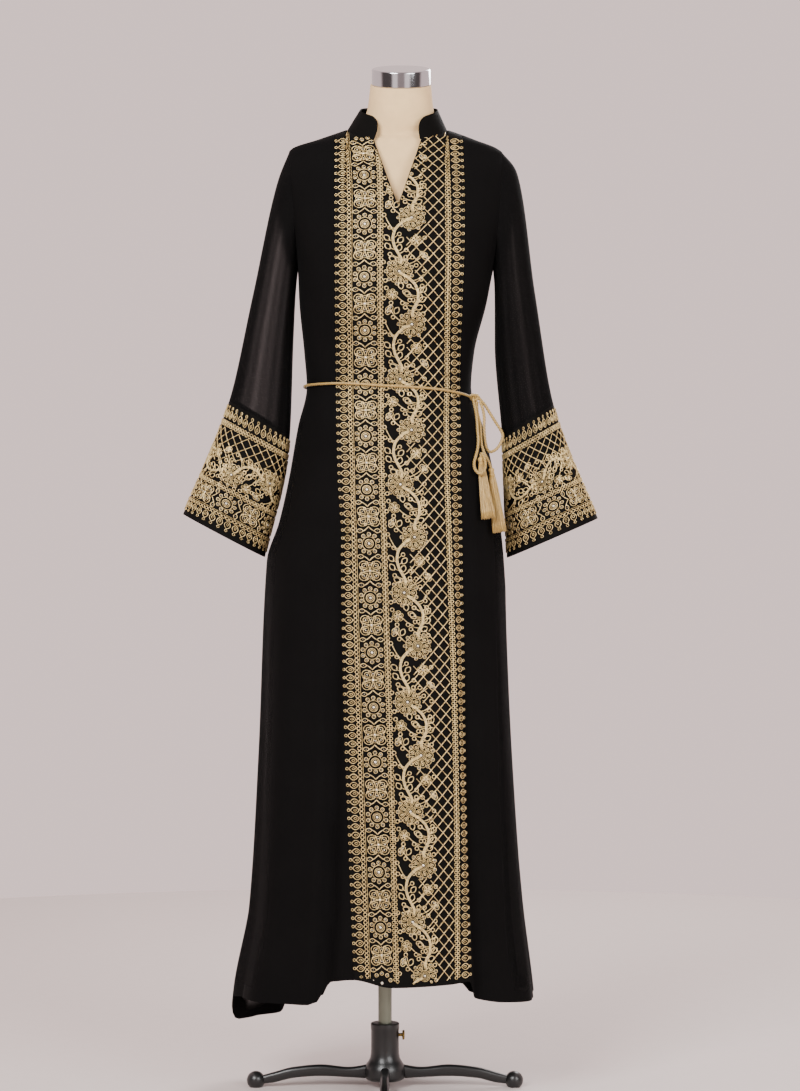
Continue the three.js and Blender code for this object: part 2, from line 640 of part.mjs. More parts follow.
// Hub and four arched legs in one casting, bored for the pole
function base() {
  const { radius, top, bottom, rim, flare } = HUB;
  const hub = turned([
    [0, bottom], [flare - 8, bottom], [flare, bottom + 8], [flare - 1, 34], [radius + 3, 44],
    [radius - 0.5, 56], [radius - 0.5, top - 8], [radius, top - rim], [radius - rim, top], [0, top],
  ], 28);
  const line = LEG_LINE;
  const shape = new THREE.Shape();
  const end = line[line.length - 1].out;
  const outs = Array.from({ length: LEG.steps }, (_, k) => lerp(line[0].out, end, k / (LEG.steps - 1)));
  shape.setFromPoints([
    ...outs.map((out) => new THREE.Vector2(out, read(line, 'out', 'low', out))),
    ...outs.reverse().map((out) => new THREE.Vector2(out, read(line, 'out', 'high', out))),
  ]);
  const half = LEG.width / 2;
  const { bevel } = LEG;
  const settings = {
    depth: LEG.width - 2 * bevel,
    bevelThickness: bevel,
    bevelSize: bevel,
    bevelOffset: -bevel,
    bevelSegments: 1,
  };
  let casting = manifoldOf(hub);
  for (let quarter = 0; quarter < 4; quarter += 1) {
    const leg = new THREE.ExtrudeGeometry(shape, settings).translate(0, 0, bevel - half).rotateX(Math.PI / 2);
    casting = casting.add(manifoldOf(leg.rotateZ((quarter * Math.PI) / 2)));
  }
  const bore = POLE.radius + RUNNING_GAP;
  const bored = turned([[0, bottom - 5], [bore, bottom - 5], [bore, top + 5], [0, top + 5]], 28);
  casting = casting.subtract(manifoldOf(bored));
  const hole = new THREE.CylinderGeometry(SCREW.shank + 0.3, SCREW.shank + 0.3, 30, 12).rotateZ(Math.PI / 2);
  casting = casting.subtract(manifoldOf(hole.translate(bore + 10, 0, SCREW.z)));
  return geometryOf(casting).translate(POLE.x, 0, 0);
}

// The tube that stands in the hub and ends in the form's socket
function pole() {
  const { x, radius, bottom, socket } = POLE;
  const top = socket - SEAT;
  return turned([[0, bottom], [radius, bottom], [radius, top], [0, top]], 24).translate(x, 0, 0);
}

// A ball foot, cut flat where it stands, with a flat side against its leg's end
function ballFoot(quarter) {
  const { radius, foot } = BALL;
  const rise = Math.sqrt(radius * radius - foot * foot);
  const profile = [[0, 0], [foot, 0]];
  const start = Math.asin(-rise / radius);
  for (let k = 1; k < 6; k += 1) {
    const angle = lerp(start, Math.PI / 2, k / 6);
    profile.push([radius * Math.cos(angle), rise + radius * Math.sin(angle)]);
  }
  profile.push([0, rise + radius]);
  let ball = manifoldOf(turned(profile, 14).translate(LEG.reach, 0, 0));
  const end = LEG_LINE[LEG_LINE.length - 1].out;
  const cut = new THREE.BoxGeometry(40, 40, 60).translate(end + SEAM - 20, 0, 10);
  ball = ball.subtract(manifoldOf(cut));
  return geometryOf(ball).rotateZ((quarter * Math.PI) / 2).translate(POLE.x, 0, 0);
}

// The brass screw that clamps the pole: a shank through the hub's wall and a round flat head
function clampScrew() {
  const { z, shank, head, thick, stands } = SCREW;
  const start = POLE.radius + SEAT;
  const outside = HUB.radius + stands;
  const profile = [
    [0, start], [shank, start], [shank, outside], [head - 1, outside], [head, outside + 1],
    [head, outside + thick - 1], [head - 1, outside + thick], [0, outside + thick],
  ];
  return turned(profile, 16).rotateY(Math.PI / 2).translate(POLE.x, 0, z);
}

// A point on the cord's line round the waist
function onBelt(degrees) {
  const z = read(BELT, 'angle', 'z', ((degrees + 540) % 360) - 180);
  const angle = degToRad(degrees);
  const point = onRing(BODY, ringX(BODY, angle, z), z, Math.cos(angle) > 0 ? -1 : 1);
  return point.addScaledVector(bodyNormal(point), CORD / 2 + BELT_LIFT);
}

// Moves a point away from the body's middle until it is clear of the cloth
function clearOfBody(point, clearance) {
  const value = (column) => read(BODY, 'z', column, point.z);
  const [middle, half] = [(value('left') + value('right')) / 2, (value('right') - value('left')) / 2];
  const [across, depth] = [(point.x - middle) / half, point.y / value('front')];
  const power = value('power');
  const size = (Math.abs(across) ** power + Math.abs(depth) ** power) ** (1 / power);
  const grow = Math.max((1 + clearance / value('front')) / size, 1);
  return new THREE.Vector3(middle + across * half * grow, depth * value('front') * grow, point.z);
}

// A cord's tube along hand-set points
function cordTube(points, steps) {
  const section = new THREE.Shape();
  section.absarc(0, 0, CORD / 2, 0, 2 * Math.PI, false);
  const path = new THREE.CatmullRomCurve3(points, false, 'centripetal');
  const settings = { steps, extrudePath: path, curveSegments: CORD_SIDES / 2, bevelEnabled: false };
  return new THREE.ExtrudeGeometry(section, settings);
}

// The cord round the waist, open where the knot takes up a few degrees
function beltRing() {
  const [from, to] = [KNOT.angle + KNOT.halfTurn, KNOT.angle + 360 - KNOT.halfTurn];
  const points = Array.from({ length: 37 }, (_, k) => onBelt(lerp(from, to, k / 36)));
  return cordTube(points, 44);
}

const beltEnd = onBelt(KNOT.angle);
const knotAt = beltEnd.clone().addScaledVector(bodyNormal(beltEnd), KNOT.lift);
const fromKnot = (rows, clearance) => rows.map(
  ({ x, y, z }) => clearOfBody(new THREE.Vector3(knotAt.x + x, knotAt.y + y, knotAt.z + z), clearance),
);

// Routes from the knot's middle. x is to the right, y away from the viewer and z up.
const BOW = [
  { x: 6.3, y: -2, z: -2 }, { x: 15, y: -2, z: -12 }, { x: 24, y: -1, z: -26 },
  { x: 34, y: 0, z: -42 }, { x: 43, y: 1, z: -56 }, { x: 45.5, y: 1, z: -63 },
  { x: 41, y: -1, z: -77 }, { x: 33, y: -4, z: -87 }, { x: 23.5, y: -8, z: -90 },
  { x: 18, y: -12, z: -83 }, { x: 15.5, y: -14, z: -68 }, { x: 14.5, y: -14, z: -52 },
  { x: 14.5, y: -12, z: -32 }, { x: 11, y: -10, z: -16 }, { x: 7.5, y: -8.5, z: -8 },
];
const FIRST_END = [
  { x: -3.8, y: -4, z: -7.8 }, { x: -4.2, y: -9, z: -22 }, { x: -3.2, y: -17, z: -38 },
  { x: -1.2, y: -24, z: -54 }, { x: 0.8, y: -30, z: -72 }, { x: -1, y: -36, z: -86 },
  { x: -4, y: -43, z: -98 }, { x: -4, y: -51, z: -110 }, { x: -1, y: -60, z: -121 },
  { x: 6, y: -63, z: -127 }, { x: 13.5, y: -61, z: -121 }, { x: 15, y: -55, z: -109 },
  { x: 12, y: -48, z: -98 }, { x: 8.6, y: -44, z: -93.5 },
];
const SECOND_END = [
  { x: 2.8, y: -2, z: -8 }, { x: 3.4, y: -6, z: -24 }, { x: 4.8, y: -12, z: -42 },
  { x: 6.8, y: -19, z: -60 }, { x: 9.2, y: -26, z: -78 }, { x: 14, y: -29, z: -92 },
  { x: 20.5, y: -33, z: -106 }, { x: 24.5, y: -37, z: -116 },
];
const TASSELS = [
  { head: [7.6, -45.5, -100], foot: [20, -66, -200], strands: 24 },
  { head: [24.9, -37.6, -117.2], foot: [38, -48, -222], strands: 24 },
];
const CORD_CLEAR = 4; // from the cloth to a hanging cord's middle
const TASSEL_CLEAR = 8;
const TASSEL = { head: 4.6, headLength: 13, spread: 10.5, flat: 0.45, strand: 1.4 };

// A tassel: a bound head, and strands that fan out from it and are fused to it
function tassel({ head, foot, strands }) {
  const [top, end] = fromKnot([head, foot].map(([x, y, z]) => ({ x, y, z })), TASSEL_CLEAR);
  const length = top.distanceTo(end);
  const { head: radius, headLength, spread, flat, strand } = TASSEL;
  const profile = [
    [0, -headLength - 1], [radius, -headLength], [radius + 0.3, -10], [radius - 1, -7.5], [radius, -6],
    [radius, -3], [2.6, 0], [0, 0],
  ];
  let whole = manifoldOf(turned(profile, 10).scale(1, 0.8, 1));
  const turn = Math.PI * (3 - Math.sqrt(5));
  for (let k = 0; k < strands; k += 1) {
    const out = Math.sqrt((k + 0.5) / strands);
    const [across, deep] = [out * Math.cos(k * turn), out * Math.sin(k * turn)];
    const rings = [
      { down: length, wide: spread, size: 1.1 },
      { down: headLength + 24, wide: spread * 0.6, size: 1.1 },
      { down: headLength - 3, wide: radius * 0.62, size: 0.8 },
    ];
    const lowered = rings.map(({ down, wide, size }) => [0, 1, 2].map((corner) => {
      const angle = (corner / 3) * 2 * Math.PI;
      const reach = wide * lerp(1, flat, clamp((down - headLength) / 20, 0, 1));
      return new THREE.Vector3(
        across * wide + strand * size * Math.cos(angle),
        deep * reach + strand * size * Math.sin(angle),
        -down,
      );
    }));
    whole = whole.add(manifoldOf(loft(lowered)));
  }
  // The outer surface alone, without the small pockets that close between the roots
  const [outer] = whole.decompose().sort((one, other) => other.volume() - one.volume());
  const geometry = geometryOf(outer);
  const down = new THREE.Vector3(0, 0, -1);
  const aim = new THREE.Quaternion().setFromUnitVectors(down, end.clone().sub(top).normalize());
  return geometry.applyQuaternion(aim).translate(...top.toArray());
}

// The knot: a round lump, dimpled round its middle where the cord is drawn tight
function knot() {
  const { length, width, depth } = KNOT;
  const profile = [];
  for (let k = 0; k <= 10; k += 1) {
    const angle = lerp(-Math.PI / 2, Math.PI / 2, k / 10);
    const dimple = 1 - 0.12 * Math.cos(angle * 2) ** 4;
    profile.push([Math.abs(k - 5) === 5 ? 0 : 0.5 * Math.cos(angle) ** 0.7 * dimple, 0.5 * Math.sin(angle)]);
  }
  return turned(profile, 14).scale(width, depth, length);
}

add('front_panel', frontPanel(), EMBROIDERED);
add('front_left', frontSide('left'), BLACK);
add('front_right', frontSide('right'), BLACK);
add('back', back(), BLACK);
add('lining', lining(), BLACK);
add('collar', collar(), BLACK);
for (const which of ['left', 'right']) {
  add(`sleeve_${which}`, sleeveTube(which, SLEEVE_STEPS, CLOTH), BLACK);
  add(`cuff_${which}`, sleeveTube(which, CUFF_STEPS, TRIM), EMBROIDERED);
}

add('belt_ring', beltRing(), STRAW);
const knotMesh = add('belt_knot', knot(), STRAW);
knotMesh.position.copy(knotAt);
knotMesh.rotation.z = degToRad(KNOT.angle);
add('belt_bow', cordTube(fromKnot(BOW, CORD_CLEAR), 26), STRAW);
add('belt_end_1', cordTube(fromKnot(FIRST_END, CORD_CLEAR), 22), STRAW);
add('belt_end_2', cordTube(fromKnot(SECOND_END, CORD_CLEAR), 14), STRAW);
TASSELS.forEach((row, k) => add(`tassel_${k + 1}`, tassel(row), STRAW));

add('form', form(), LINEN);
const cap = add('neck_cap', neckCap(), CHROME);
cap.rotation.x = degToRad(NECK_TILT);
cap.position.set(CAP.x, 0, FORM[FORM.length - 1].z + SEAT);
add('pole', pole(), PAINTED);
add('base', base(), IRON);
for (let quarter = 0; quarter < 4; quarter += 1) add(`ball_foot_${quarter + 1}`, ballFoot(quarter), IRON);
add('clamp_screw', clampScrew(), BRASS);

export default model;
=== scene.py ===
"""Looks of a long black jalabiya with an embroidered front, on its dress form and stand."""
import math

import bpy
import numpy as np
from bpy.props import FloatProperty, FloatVectorProperty, IntProperty, PointerProperty
from bpy.types import Operator, Panel, PropertyGroup
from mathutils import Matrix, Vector


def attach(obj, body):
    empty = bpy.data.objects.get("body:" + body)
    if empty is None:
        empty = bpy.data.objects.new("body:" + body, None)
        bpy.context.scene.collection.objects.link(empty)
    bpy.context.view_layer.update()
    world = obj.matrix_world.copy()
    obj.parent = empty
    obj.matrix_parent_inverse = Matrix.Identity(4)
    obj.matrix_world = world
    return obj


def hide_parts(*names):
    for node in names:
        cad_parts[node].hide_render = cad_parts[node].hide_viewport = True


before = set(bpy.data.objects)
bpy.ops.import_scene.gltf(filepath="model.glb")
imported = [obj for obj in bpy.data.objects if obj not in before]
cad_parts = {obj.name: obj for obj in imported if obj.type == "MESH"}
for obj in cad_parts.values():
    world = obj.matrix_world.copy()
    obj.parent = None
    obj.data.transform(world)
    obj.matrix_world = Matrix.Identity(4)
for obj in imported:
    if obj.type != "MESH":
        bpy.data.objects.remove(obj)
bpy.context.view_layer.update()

bl_info = {
    "name": "Jalabiya on a dress form",
    "version": (1, 0, 0),
    "blender": (4, 5, 0),
    "location": "View3D > Sidebar > Jalabiya",
    "description": "Cloth, embroidery, belt, dress form and stand of an embroidered jalabiya",
    "category": "Add Mesh",
}

MM = 0.001
BODY_NAME = "form"

# Camera: level, in millimetres, with a long lens as in a studio
CAMERA = Vector((15.75, -4500.0, 893.0))
LENS = 90.0


def table(columns, *rows):
    """Named columns of driving sizes in millimetres. The first column is what the others go by."""
    return dict(zip(columns.split(), np.array(rows, float).T))


# The body of the garment, as level rings. Left and right are along x, front and back are depths.
BODY = table(
    "at left right front back power",
    (60, -268, 248, 208, 222, 2.2), (154, -260, 240, 198, 210, 2.2), (304, -233, 222, 184, 196, 2.2),
    (550, -218, 204, 170, 180, 2.2), (868, -204, 187, 150, 158, 2.2), (930, -184, 181, 145, 151, 2.2),
    (1000, -168, 172, 138, 142, 2.2), (1090, -152, 152, 122, 118, 2.3), (1153, -138, 133, 106, 100, 2.4),
    (1210, -142, 138, 112, 103, 2.4), (1290, -150, 158, 130, 108, 2.3), (1350, -153, 170, 126, 112, 2.3),
    (1440, -176, 196, 108, 112, 2.3), (1500, -182, 200, 86, 98, 2.3), (1535, -172, 190, 68, 80, 2.2),
    (1547, -163, 177, 62, 72, 2.2), (1560, -124, 143, 58, 68, 2.2), (1570, -95, 117, 52, 68, 2.2),
    (1578, -72, 94, 44, 67, 2.2),
)
# The hem's height by the angle round the body, 0 at the front and 90 at the right
HEM = table(
    "at z",
    (-180, 145), (-150, 140), (-130, 100), (-112, 95), (-102, 140), (-90, 150), (-60, 163), (-28, 164),
    (-23, 198), (-11, 206), (3, 194), (25, 197), (33, 200), (38, 172), (50, 162), (90, 154), (110, 146),
    (150, 140), (180, 145),
)
# Long soft folds: middle and half width in degrees, depth at the hem, and the height where each starts
FOLDS = table(
    "at width depth top",
    (-78, 13, -16, 900), (-52, 16, 12, 950), (-24, 7, -24, 1120), (41, 8, -20, 1080), (62, 15, 13, 900),
    (88, 12, -15, 820), (112, 13, 16, 1000), (134, 10, -20, 1080), (158, 13, 16, 1000),
    (-178, 11, -20, 1080), (-154, 13, 16, 1000), (-130, 10, -20, 1050), (-108, 12, 14, 900),
)
PANEL = table(
    "at left right",
    (195, -56, 130), (640, -73.3, 126.3), (868, -79, 119.7), (1153, -86.6, 112.5), (1450, -89, 120.5),
    (1570, -90.3, 118),
)
ARMHOLE = table("at left right", (1350, -153, 170), (1446, -158, 178), (1542, -167, 184))
SLEEVE = {
    "left": table(
        "at outer_x outer_z inner_x inner_z depth",
        (0, -168, 1542, -154, 1350, 57), (0.14, -186, 1494, -156, 1318, 56),
        (0.5, -226, 1310, -160, 1230, 50), (1, -266, 1131.5, -166, 1072, 46),
        (2, -342, 945, -207, 874, 60),
    ),
    "right": table(
        "at outer_x outer_z inner_x inner_z depth",
        (0, 185, 1542, 171, 1350, 57), (0.14, 209, 1508, 172, 1318, 56), (0.5, 238, 1312, 172, 1226, 50),
        (1, 269, 1125.7, 184, 1072, 46), (2, 342, 938, 192, 873, 60),
    ),
}
FORM = table(
    "at left right front back power",
    (860, -146, 134, 98, 104, 2.1), (885, -157, 144, 108, 114, 2.2), (980, -158, 147, 112, 118, 2.2),
    (1080, -137, 131, 98, 98, 2.2), (1153, -123, 119, 90, 86, 2.2), (1215, -128, 124, 97, 90, 2.2),
    (1290, -137, 144, 117, 96, 2.2), (1350, -140, 156, 111, 101, 2.2), (1440, -148, 166, 90, 99, 2.2),
    (1500, -150, 168, 68, 86, 2.2), (1530, -150, 167, 56, 72, 2.2), (1545, -144, 160, 52, 64, 1.9),
    (1558.4, -124, 143, 47, 56, 1.55), (1565.8, -94, 114, 42, 54, 1.45), (1571, -75, 92, 43, 54, 1.45),
    (1583, -54, 80, 45, 55, 1.8), (1613, -38, 71, 49, 53, 2.0), (1653, -33, 67, 49, 51, 2.0),
)
BELT = table(
    "at z",
    (-180, 1150), (-90, 1154.5), (-40, 1155), (0, 1150), (35, 1145), (60, 1138), (74, 1134), (110, 1139),
    (180, 1150),
)
LEG = table(
    "at low high", (16, 13, 40), (60, 16, 33), (105, 18, 37), (150, 15, 33), (185, 7, 24), (203, 5, 19),
)

# Seams, levels, neckline, slit, pole, neck, cap, knot and clearances. Plain angles are in degrees.
SEAM, WAIST, UNDERARM, SHOULDER_TIP, SHOULDER_SEAM = 0.6, 1153, 1350, 1542, 1570
LINED_FROM, HEM_BAND = 1096, 20
NECK_MIDDLE, NECK_ACROSS, NECK_FRONT, NECK_BACK = 11, 83, 62, 66
NECK_Z, NECK_DIP, NECK_RISE = 1572, 18, 6
SLIT_X, SLIT_FOOT, SLIT_LEFT, SLIT_RIGHT, SLIT_FROM = 12.5, 1448, -28, 51, 900
SLIT_SHARE = (SLIT_FOOT - UNDERARM) / (SHOULDER_SEAM - UNDERARM)
POLE_X, POLE_RADIUS, POLE_FOOT, POLE_TOP = -9, 11.2, 35, 939.7
RUNNING_GAP = 0.35
NECK_FOOT, NECK_TOP, NECK_TILT = 1583, 1653, math.radians(16.9)
CAP_X, CAP_RADIUS, CAP_HEIGHT = 17.5, 48.5, 26
KNOT_ANGLE, KNOT_TURN, KNOT_LIFT, KNOT_FACING = 74, 2.85, 4.2, 28
BELT_LIFT, CORD_CLEAR, TASSEL_CLEAR = 1.5, 4, 8

# Routes of the hanging cords and the two tassels, from the knot's middle
BOW = (
    (6.3, -2, -2), (15, -2, -12), (24, -1, -26), (34, 0, -42), (43, 1, -56), (45.5, 1, -63), (41, -1, -77),
    (33, -4, -87), (23.5, -8, -90), (18, -12, -83), (15.5, -14, -68), (14.5, -14, -52), (14.5, -12, -32),
    (11, -10, -16), (7.5, -8.5, -8),
)
FIRST_END = (
    (-3.8, -4, -7.8), (-4.2, -9, -22), (-3.2, -17, -38), (-1.2, -24, -54), (0.8, -30, -72), (-1, -36, -86),
    (-4, -43, -98), (-4, -51, -110), (-1, -60, -121), (6, -63, -127), (13.5, -61, -121), (15, -55, -109),
    (12, -48, -98), (8.6, -44, -93.5),
)
SECOND_END = (
    (2.8, -2, -8), (3.4, -6, -24), (4.8, -12, -42), (6.8, -19, -60), (9.2, -26, -78), (14, -29, -92),
    (20.5, -33, -106), (24.5, -37, -116),
)
TASSELS = (((7.6, -45.5, -100), (20, -66, -200)), ((24.9, -37.6, -117.2), (38, -48, -222)))


def linear(code):
    """An sRGB hex colour as three linear numbers."""
    parts = [int(code[k:k + 2], 16) / 255 for k in (1, 3, 5)]
    return tuple(c / 12.92 if c <= 0.04045 else ((c + 0.055) / 1.055) ** 2.4 for c in parts)


def colour(name, description, code):
    """A colour setting whose default is an sRGB hex colour."""
    return FloatVectorProperty(
        name=name, description=description, default=linear(code), subtype="COLOR", size=3, min=0, max=1,
    )


def size(name, description, millimetres):
    """A length setting whose default is given in millimetres."""
    return FloatProperty(
        name=name, description=description, default=millimetres * MM, unit="LENGTH", precision=5, min=0,
    )


class JalabiyaCloth(PropertyGroup):
    """Chiffon, lining and trim."""

    chiffon_thickness: size("Chiffon thickness", "Wall of the chiffon", 0.5)
    trim_thickness: size("Trim thickness", "Wall of the embroidered trim's ground", 1.2)
    chiffon_cover: FloatProperty(
        name="Cover", description="Share of the light that one side of the chiffon stops",
        default=0.78, min=0, max=1, subtype="FACTOR",
    )
    chiffon_colour: colour("Chiffon", "Colour of the black chiffon", "#0b0a0a")
    lining_colour: colour("Lining", "Colour of the lining", "#090809")
    ground_colour: colour("Trim ground", "Colour of the cloth under the embroidery", "#0a0908")


class JalabiyaEmbroidery(PropertyGroup):
    """Couched threads and stones of the trim."""

    thread_width: size("Thread width", "Width of a couched thread", 1.8)
    thread_height: size("Thread height", "Height of a couched thread", 1.6)
    repeat: size("Repeat", "Distance from one rosette to the next", 87)
    drop_spacing: size("Drop spacing", "Distance from one edge loop to the next", 13.1)
    thread_colour: colour("Thread", "Colour of the metallic thread", "#f2c88c")
    # Painted shade: the colour of a thread's sides and feet, where it turns away from the light.
    painted_shade_colour: colour("Painted shade of the thread", "Colour painted down the thread's sides as shade", "#4d2e10")
    satin_colour: colour("Satin stitch", "Colour of the stems and small petals", "#f5cb90")
    stone_colour: colour("Stones", "Colour of the sequins and stones", "#efe6d2")


class JalabiyaBelt(PropertyGroup):
    """The cord belt and its tassels."""

    diameter: size("Cord diameter", "Diameter of the twisted cord", 4.8)
    lay: size("Lay", "Length of one turn of the cord's plies", 15)
    strands: IntProperty(name="Strands", description="Strands of a tassel", default=130, min=20, max=400)
    cord_colour: colour("Cord", "Colour of the satin cord", "#b4924e")


class JalabiyaStand(PropertyGroup):
    """Dress form and stand."""

    linen_colour: colour("Linen", "Colour of the form's cover", "#e8c490")
    pole_colour: colour("Pole", "Colour of the pole's paint", "#868a78")
    iron_colour: colour("Iron", "Colour of the base's enamel", "#161616")


class JalabiyaStage(PropertyGroup):
    """Floor, lamps and camera."""

    floor_colour: colour("Floor", "Colour of the floor", "#cdc0bc")
    wall_colour: colour("Surroundings", "Colour of the light all round", "#ecd4d1")
    key_power: FloatProperty(
        name="Key lamp", description="Power of the main lamp", default=200, unit="POWER",
    )


def settings():
    """The settings of this scene, one group for each operator's pieces."""
    return bpy.context.scene.jalabiya


def read(rows, column, at):
    """A column of a table at any place, on a cubic through its rows. The slope at a row is the harmonic
    mean of the slopes on its two sides, level where they turn, and the end rows keep their own side's."""
    keys, values = rows["at"], rows[column]
    steps = np.diff(keys)
    secants = np.diff(values) / steps
    before, after = secants[:-1], secants[1:]
    turns = before * after <= 0
    inner = np.where(turns, 0, 2 * before * after / np.where(turns, 1, before + after))
    slopes = np.concatenate([secants[:1], inner, secants[-1:]])
    at = np.clip(at, keys[0], keys[-1])
    row = np.clip(np.searchsorted(keys, at, side="right") - 1, 0, len(steps) - 1)
    t = (at - keys[row]) / steps[row]
    rise = values[row + 1] - values[row]
    leave, meet = slopes[row] * steps[row], slopes[row + 1] * steps[row]
    return values[row] + t * (leave + t * (3 * rise - 2 * leave - meet + t * (leave + meet - 2 * rise)))


def blend(start, stop, share):
    """The value at a share of the way from start to stop."""
    return start + (stop - start) * share


def unit(vectors):
    """Vectors of length 1."""
    return vectors / np.maximum(np.linalg.norm(vectors, axis=-1, keepdims=True), 1e-12)


def heading(angle):
    """The flat direction at an angle, or at each of several."""
    return np.stack([np.cos(angle), np.sin(angle)], -1)


def round_angles(count):
    """Even angles of a full turn."""
    return np.arange(count) / count * 2 * np.pi


def steps_along(points, axis):
    """Running length along an axis of a grid of points."""
    lengths = np.linalg.norm(np.diff(points, axis=axis), axis=-1)
    start = np.zeros_like(np.take(lengths, [0], axis=axis))
    return np.cumsum(np.concatenate([start, lengths], axis=axis), axis=axis)


def fold(angle, z):
    """How far the folds move the cloth out: a raised cosine across each fold, deeper towards the hem."""
    out = np.zeros(np.broadcast(angle, z).shape)
    for middle, width, depth, top in zip(*FOLDS.values()):
        apart = np.minimum(np.abs((angle - middle + 540) % 360 - 180) / width, 1)
        out += depth * np.cos(apart * np.pi / 2) ** 2 * (np.clip(top - z, 0, None) / (top - 150)) ** 0.8
    return out


def on_rings(rows, x, z, side, folded=True, inset=0.0):
    """Points of a ring table at x and z. Each ring is |across|^power + |depth|^power = 1, side is -1 in
    front and 1 behind, and folds and the inset move a point along the ring's own outward direction."""
    left, right, power = (read(rows, name, z) for name in ("left", "right", "power"))
    depth = np.where(side < 0, read(rows, "front", z), read(rows, "back", z))
    across = np.clip((2 * x - left - right) / (right - left), -1, 1)
    y = side * depth * (1 - np.abs(across) ** power) ** (1 / power)
    turn = np.arcsin(across)
    angle = np.where(side < 0, turn, np.pi - turn)
    out = (fold(np.degrees(angle), z) if folded else 0) - inset
    return np.stack(np.broadcast_arrays(x + out * np.sin(angle), y - out * np.cos(angle), z), -1)


def ring_x(rows, angle, z):
    """The x at which an angle from the front meets a ring."""
    left, right = read(rows, "left", z), read(rows, "right", z)
    return (left + right) / 2 + (right - left) / 2 * np.sin(angle)


def hem_at(x, side):
    """The hem's height under x, on the front or the back."""
    left, right = read(BODY, "left", 160), read(BODY, "right", 160)
    turn = np.degrees(np.arcsin(np.clip((2 * x - left - right) / (right - left), -1, 1)))
    return read(HEM, "z", turn if side < 0 else np.where(turn < 0, -180 - turn, 180 - turn))


def neckline(angle):
    """Points of the neckline, an oval that dips at the front."""
    forward = np.cos(angle)
    reach = np.where(forward > 0, NECK_FRONT, NECK_BACK)
    return np.stack([
        NECK_MIDDLE + NECK_ACROSS * np.sin(angle),
        -reach * forward,
        NECK_Z - NECK_DIP * forward + NECK_RISE * np.sin(angle) ** 2,
    ], -1)


def top_edge(x, side):
    """The top edge above x: the neckline between its corners and the shoulder's ridge outside them."""
    x = np.asarray(x, float)
    across = (x - NECK_MIDDLE) / NECK_ACROSS
    turn = np.arcsin(np.clip(across, -1, 1))
    neck = neckline(turn if side < 0 else np.pi - turn)
    heights = np.linspace(1500, NECK_Z + NECK_RISE, 400)
    on_left = np.interp(x, read(BODY, "left", heights), heights)
    on_right = np.interp(-x, -read(BODY, "right", heights), heights)
    ridge = np.stack([x, np.full_like(x, side * SEAM * 0.7), np.where(across < 0, on_left, on_right)], -1)
    return np.where(np.abs(across)[..., None] < 1, neck, ridge)


def body_point(x, z, side):
    """A point of the garment's body. Above the underarm it is drawn to the top edge by the cube of its
    share of the way up, so that it ends on the neckline or the shoulder seam."""
    x, z = np.broadcast_arrays(np.asarray(x, float), np.asarray(z, float))
    top = top_edge(x, side)
    up = np.clip((z - UNDERARM) / (top[..., 2] - UNDERARM), 0, 1)
    z = np.minimum(z, top[..., 2])
    point = on_rings(BODY, x, z, side) + (top - on_rings(BODY, x, top[..., 2], side)) * up[..., None] ** 3
    low = (np.abs(point[..., 1]) < SEAM) & (z < UNDERARM)
    point[..., 1] = np.where(low, side * SEAM * 0.7, point[..., 1])
    return point


def body_normal(point):
    """The body's outward direction at its points, the same for the pieces on both sides of a seam."""
    x, y, z = np.moveaxis(point, -1, 0)
    side = np.where(y < 0, -1, 1)
    ahead = on_rings(BODY, x + 2, z, side) - on_rings(BODY, x - 2, z, side)
    up = on_rings(BODY, x, z + 2, side) - on_rings(BODY, x, z - 2, side)
    return unit(np.cross(ahead, up) * -side[..., None])


# Shares of the way up at which the cloth has its rows
SKIRT_UPS = np.linspace(0, 1, 110)
CHEST_UPS = np.linspace(0, 1, 30)[1:]
YOKE_UPS = np.concatenate([np.linspace(0, 0.86, 26)[1:], np.linspace(0.86, 1, 14)[1:]])


def body_grid(low_x, high_x, side):
    """Grid of a piece of the body, with rows from the hem to the waist, the underarm and the top edge.
    low_x and high_x give a row of x, at a height and at a share of the way up the yoke."""
    rows = []
    hem = hem_at(low_x(160.0), side)
    for start, stop, shares in ((hem, WAIST, SKIRT_UPS), (WAIST, UNDERARM, CHEST_UPS)):
        z = blend(start, stop, shares[:, None]) * np.ones_like(hem)
        rows.append(body_point(low_x(z), z, side))
    up = YOKE_UPS[:, None]
    x = high_x(up)
    rows.append(body_point(x, blend(UNDERARM, top_edge(x, side)[..., 2], up), side))
    return np.concatenate(rows)


def side_grid(which):
    """A side of the front, from the side seam and armhole to the embroidered front."""
    shares = 1 - np.cos(np.linspace(0, 1, 34) * np.pi / 2)
    shares = shares if which == "left" else shares[::-1]

    def edge(z):
        return read(PANEL, which, z) + (-SEAM if which == "left" else SEAM)

    def below(z):
        return blend(read(BODY, which, z), edge(z), shares)

    def above(up):
        outer = read(ARMHOLE, which, blend(UNDERARM, SHOULDER_TIP, up))
        return blend(outer, edge(blend(UNDERARM, SHOULDER_SEAM, up)), shares)

    return body_grid(below, above, -1)


def back_grid():
    """The back, from the right side seam to the left one."""
    angles = np.linspace(np.pi / 2, -np.pi / 2, 90)

    def below(z):
        return ring_x(BODY, angles, z)

    def above(up):
        height = blend(UNDERARM, SHOULDER_TIP, up)
        left, right = read(ARMHOLE, "left", height), read(ARMHOLE, "right", height)
        return blend(right, left, (1 - np.sin(angles)) / 2)

    return body_grid(below, above, 1)


def slit_x(which, up):
    """An edge of the front's slit, by the share of the way up the yoke."""
    end = SLIT_LEFT if which == "left" else SLIT_RIGHT
    return blend(SLIT_X, end, np.clip((up - SLIT_SHARE) / (1 - SLIT_SHARE), 0, 1))


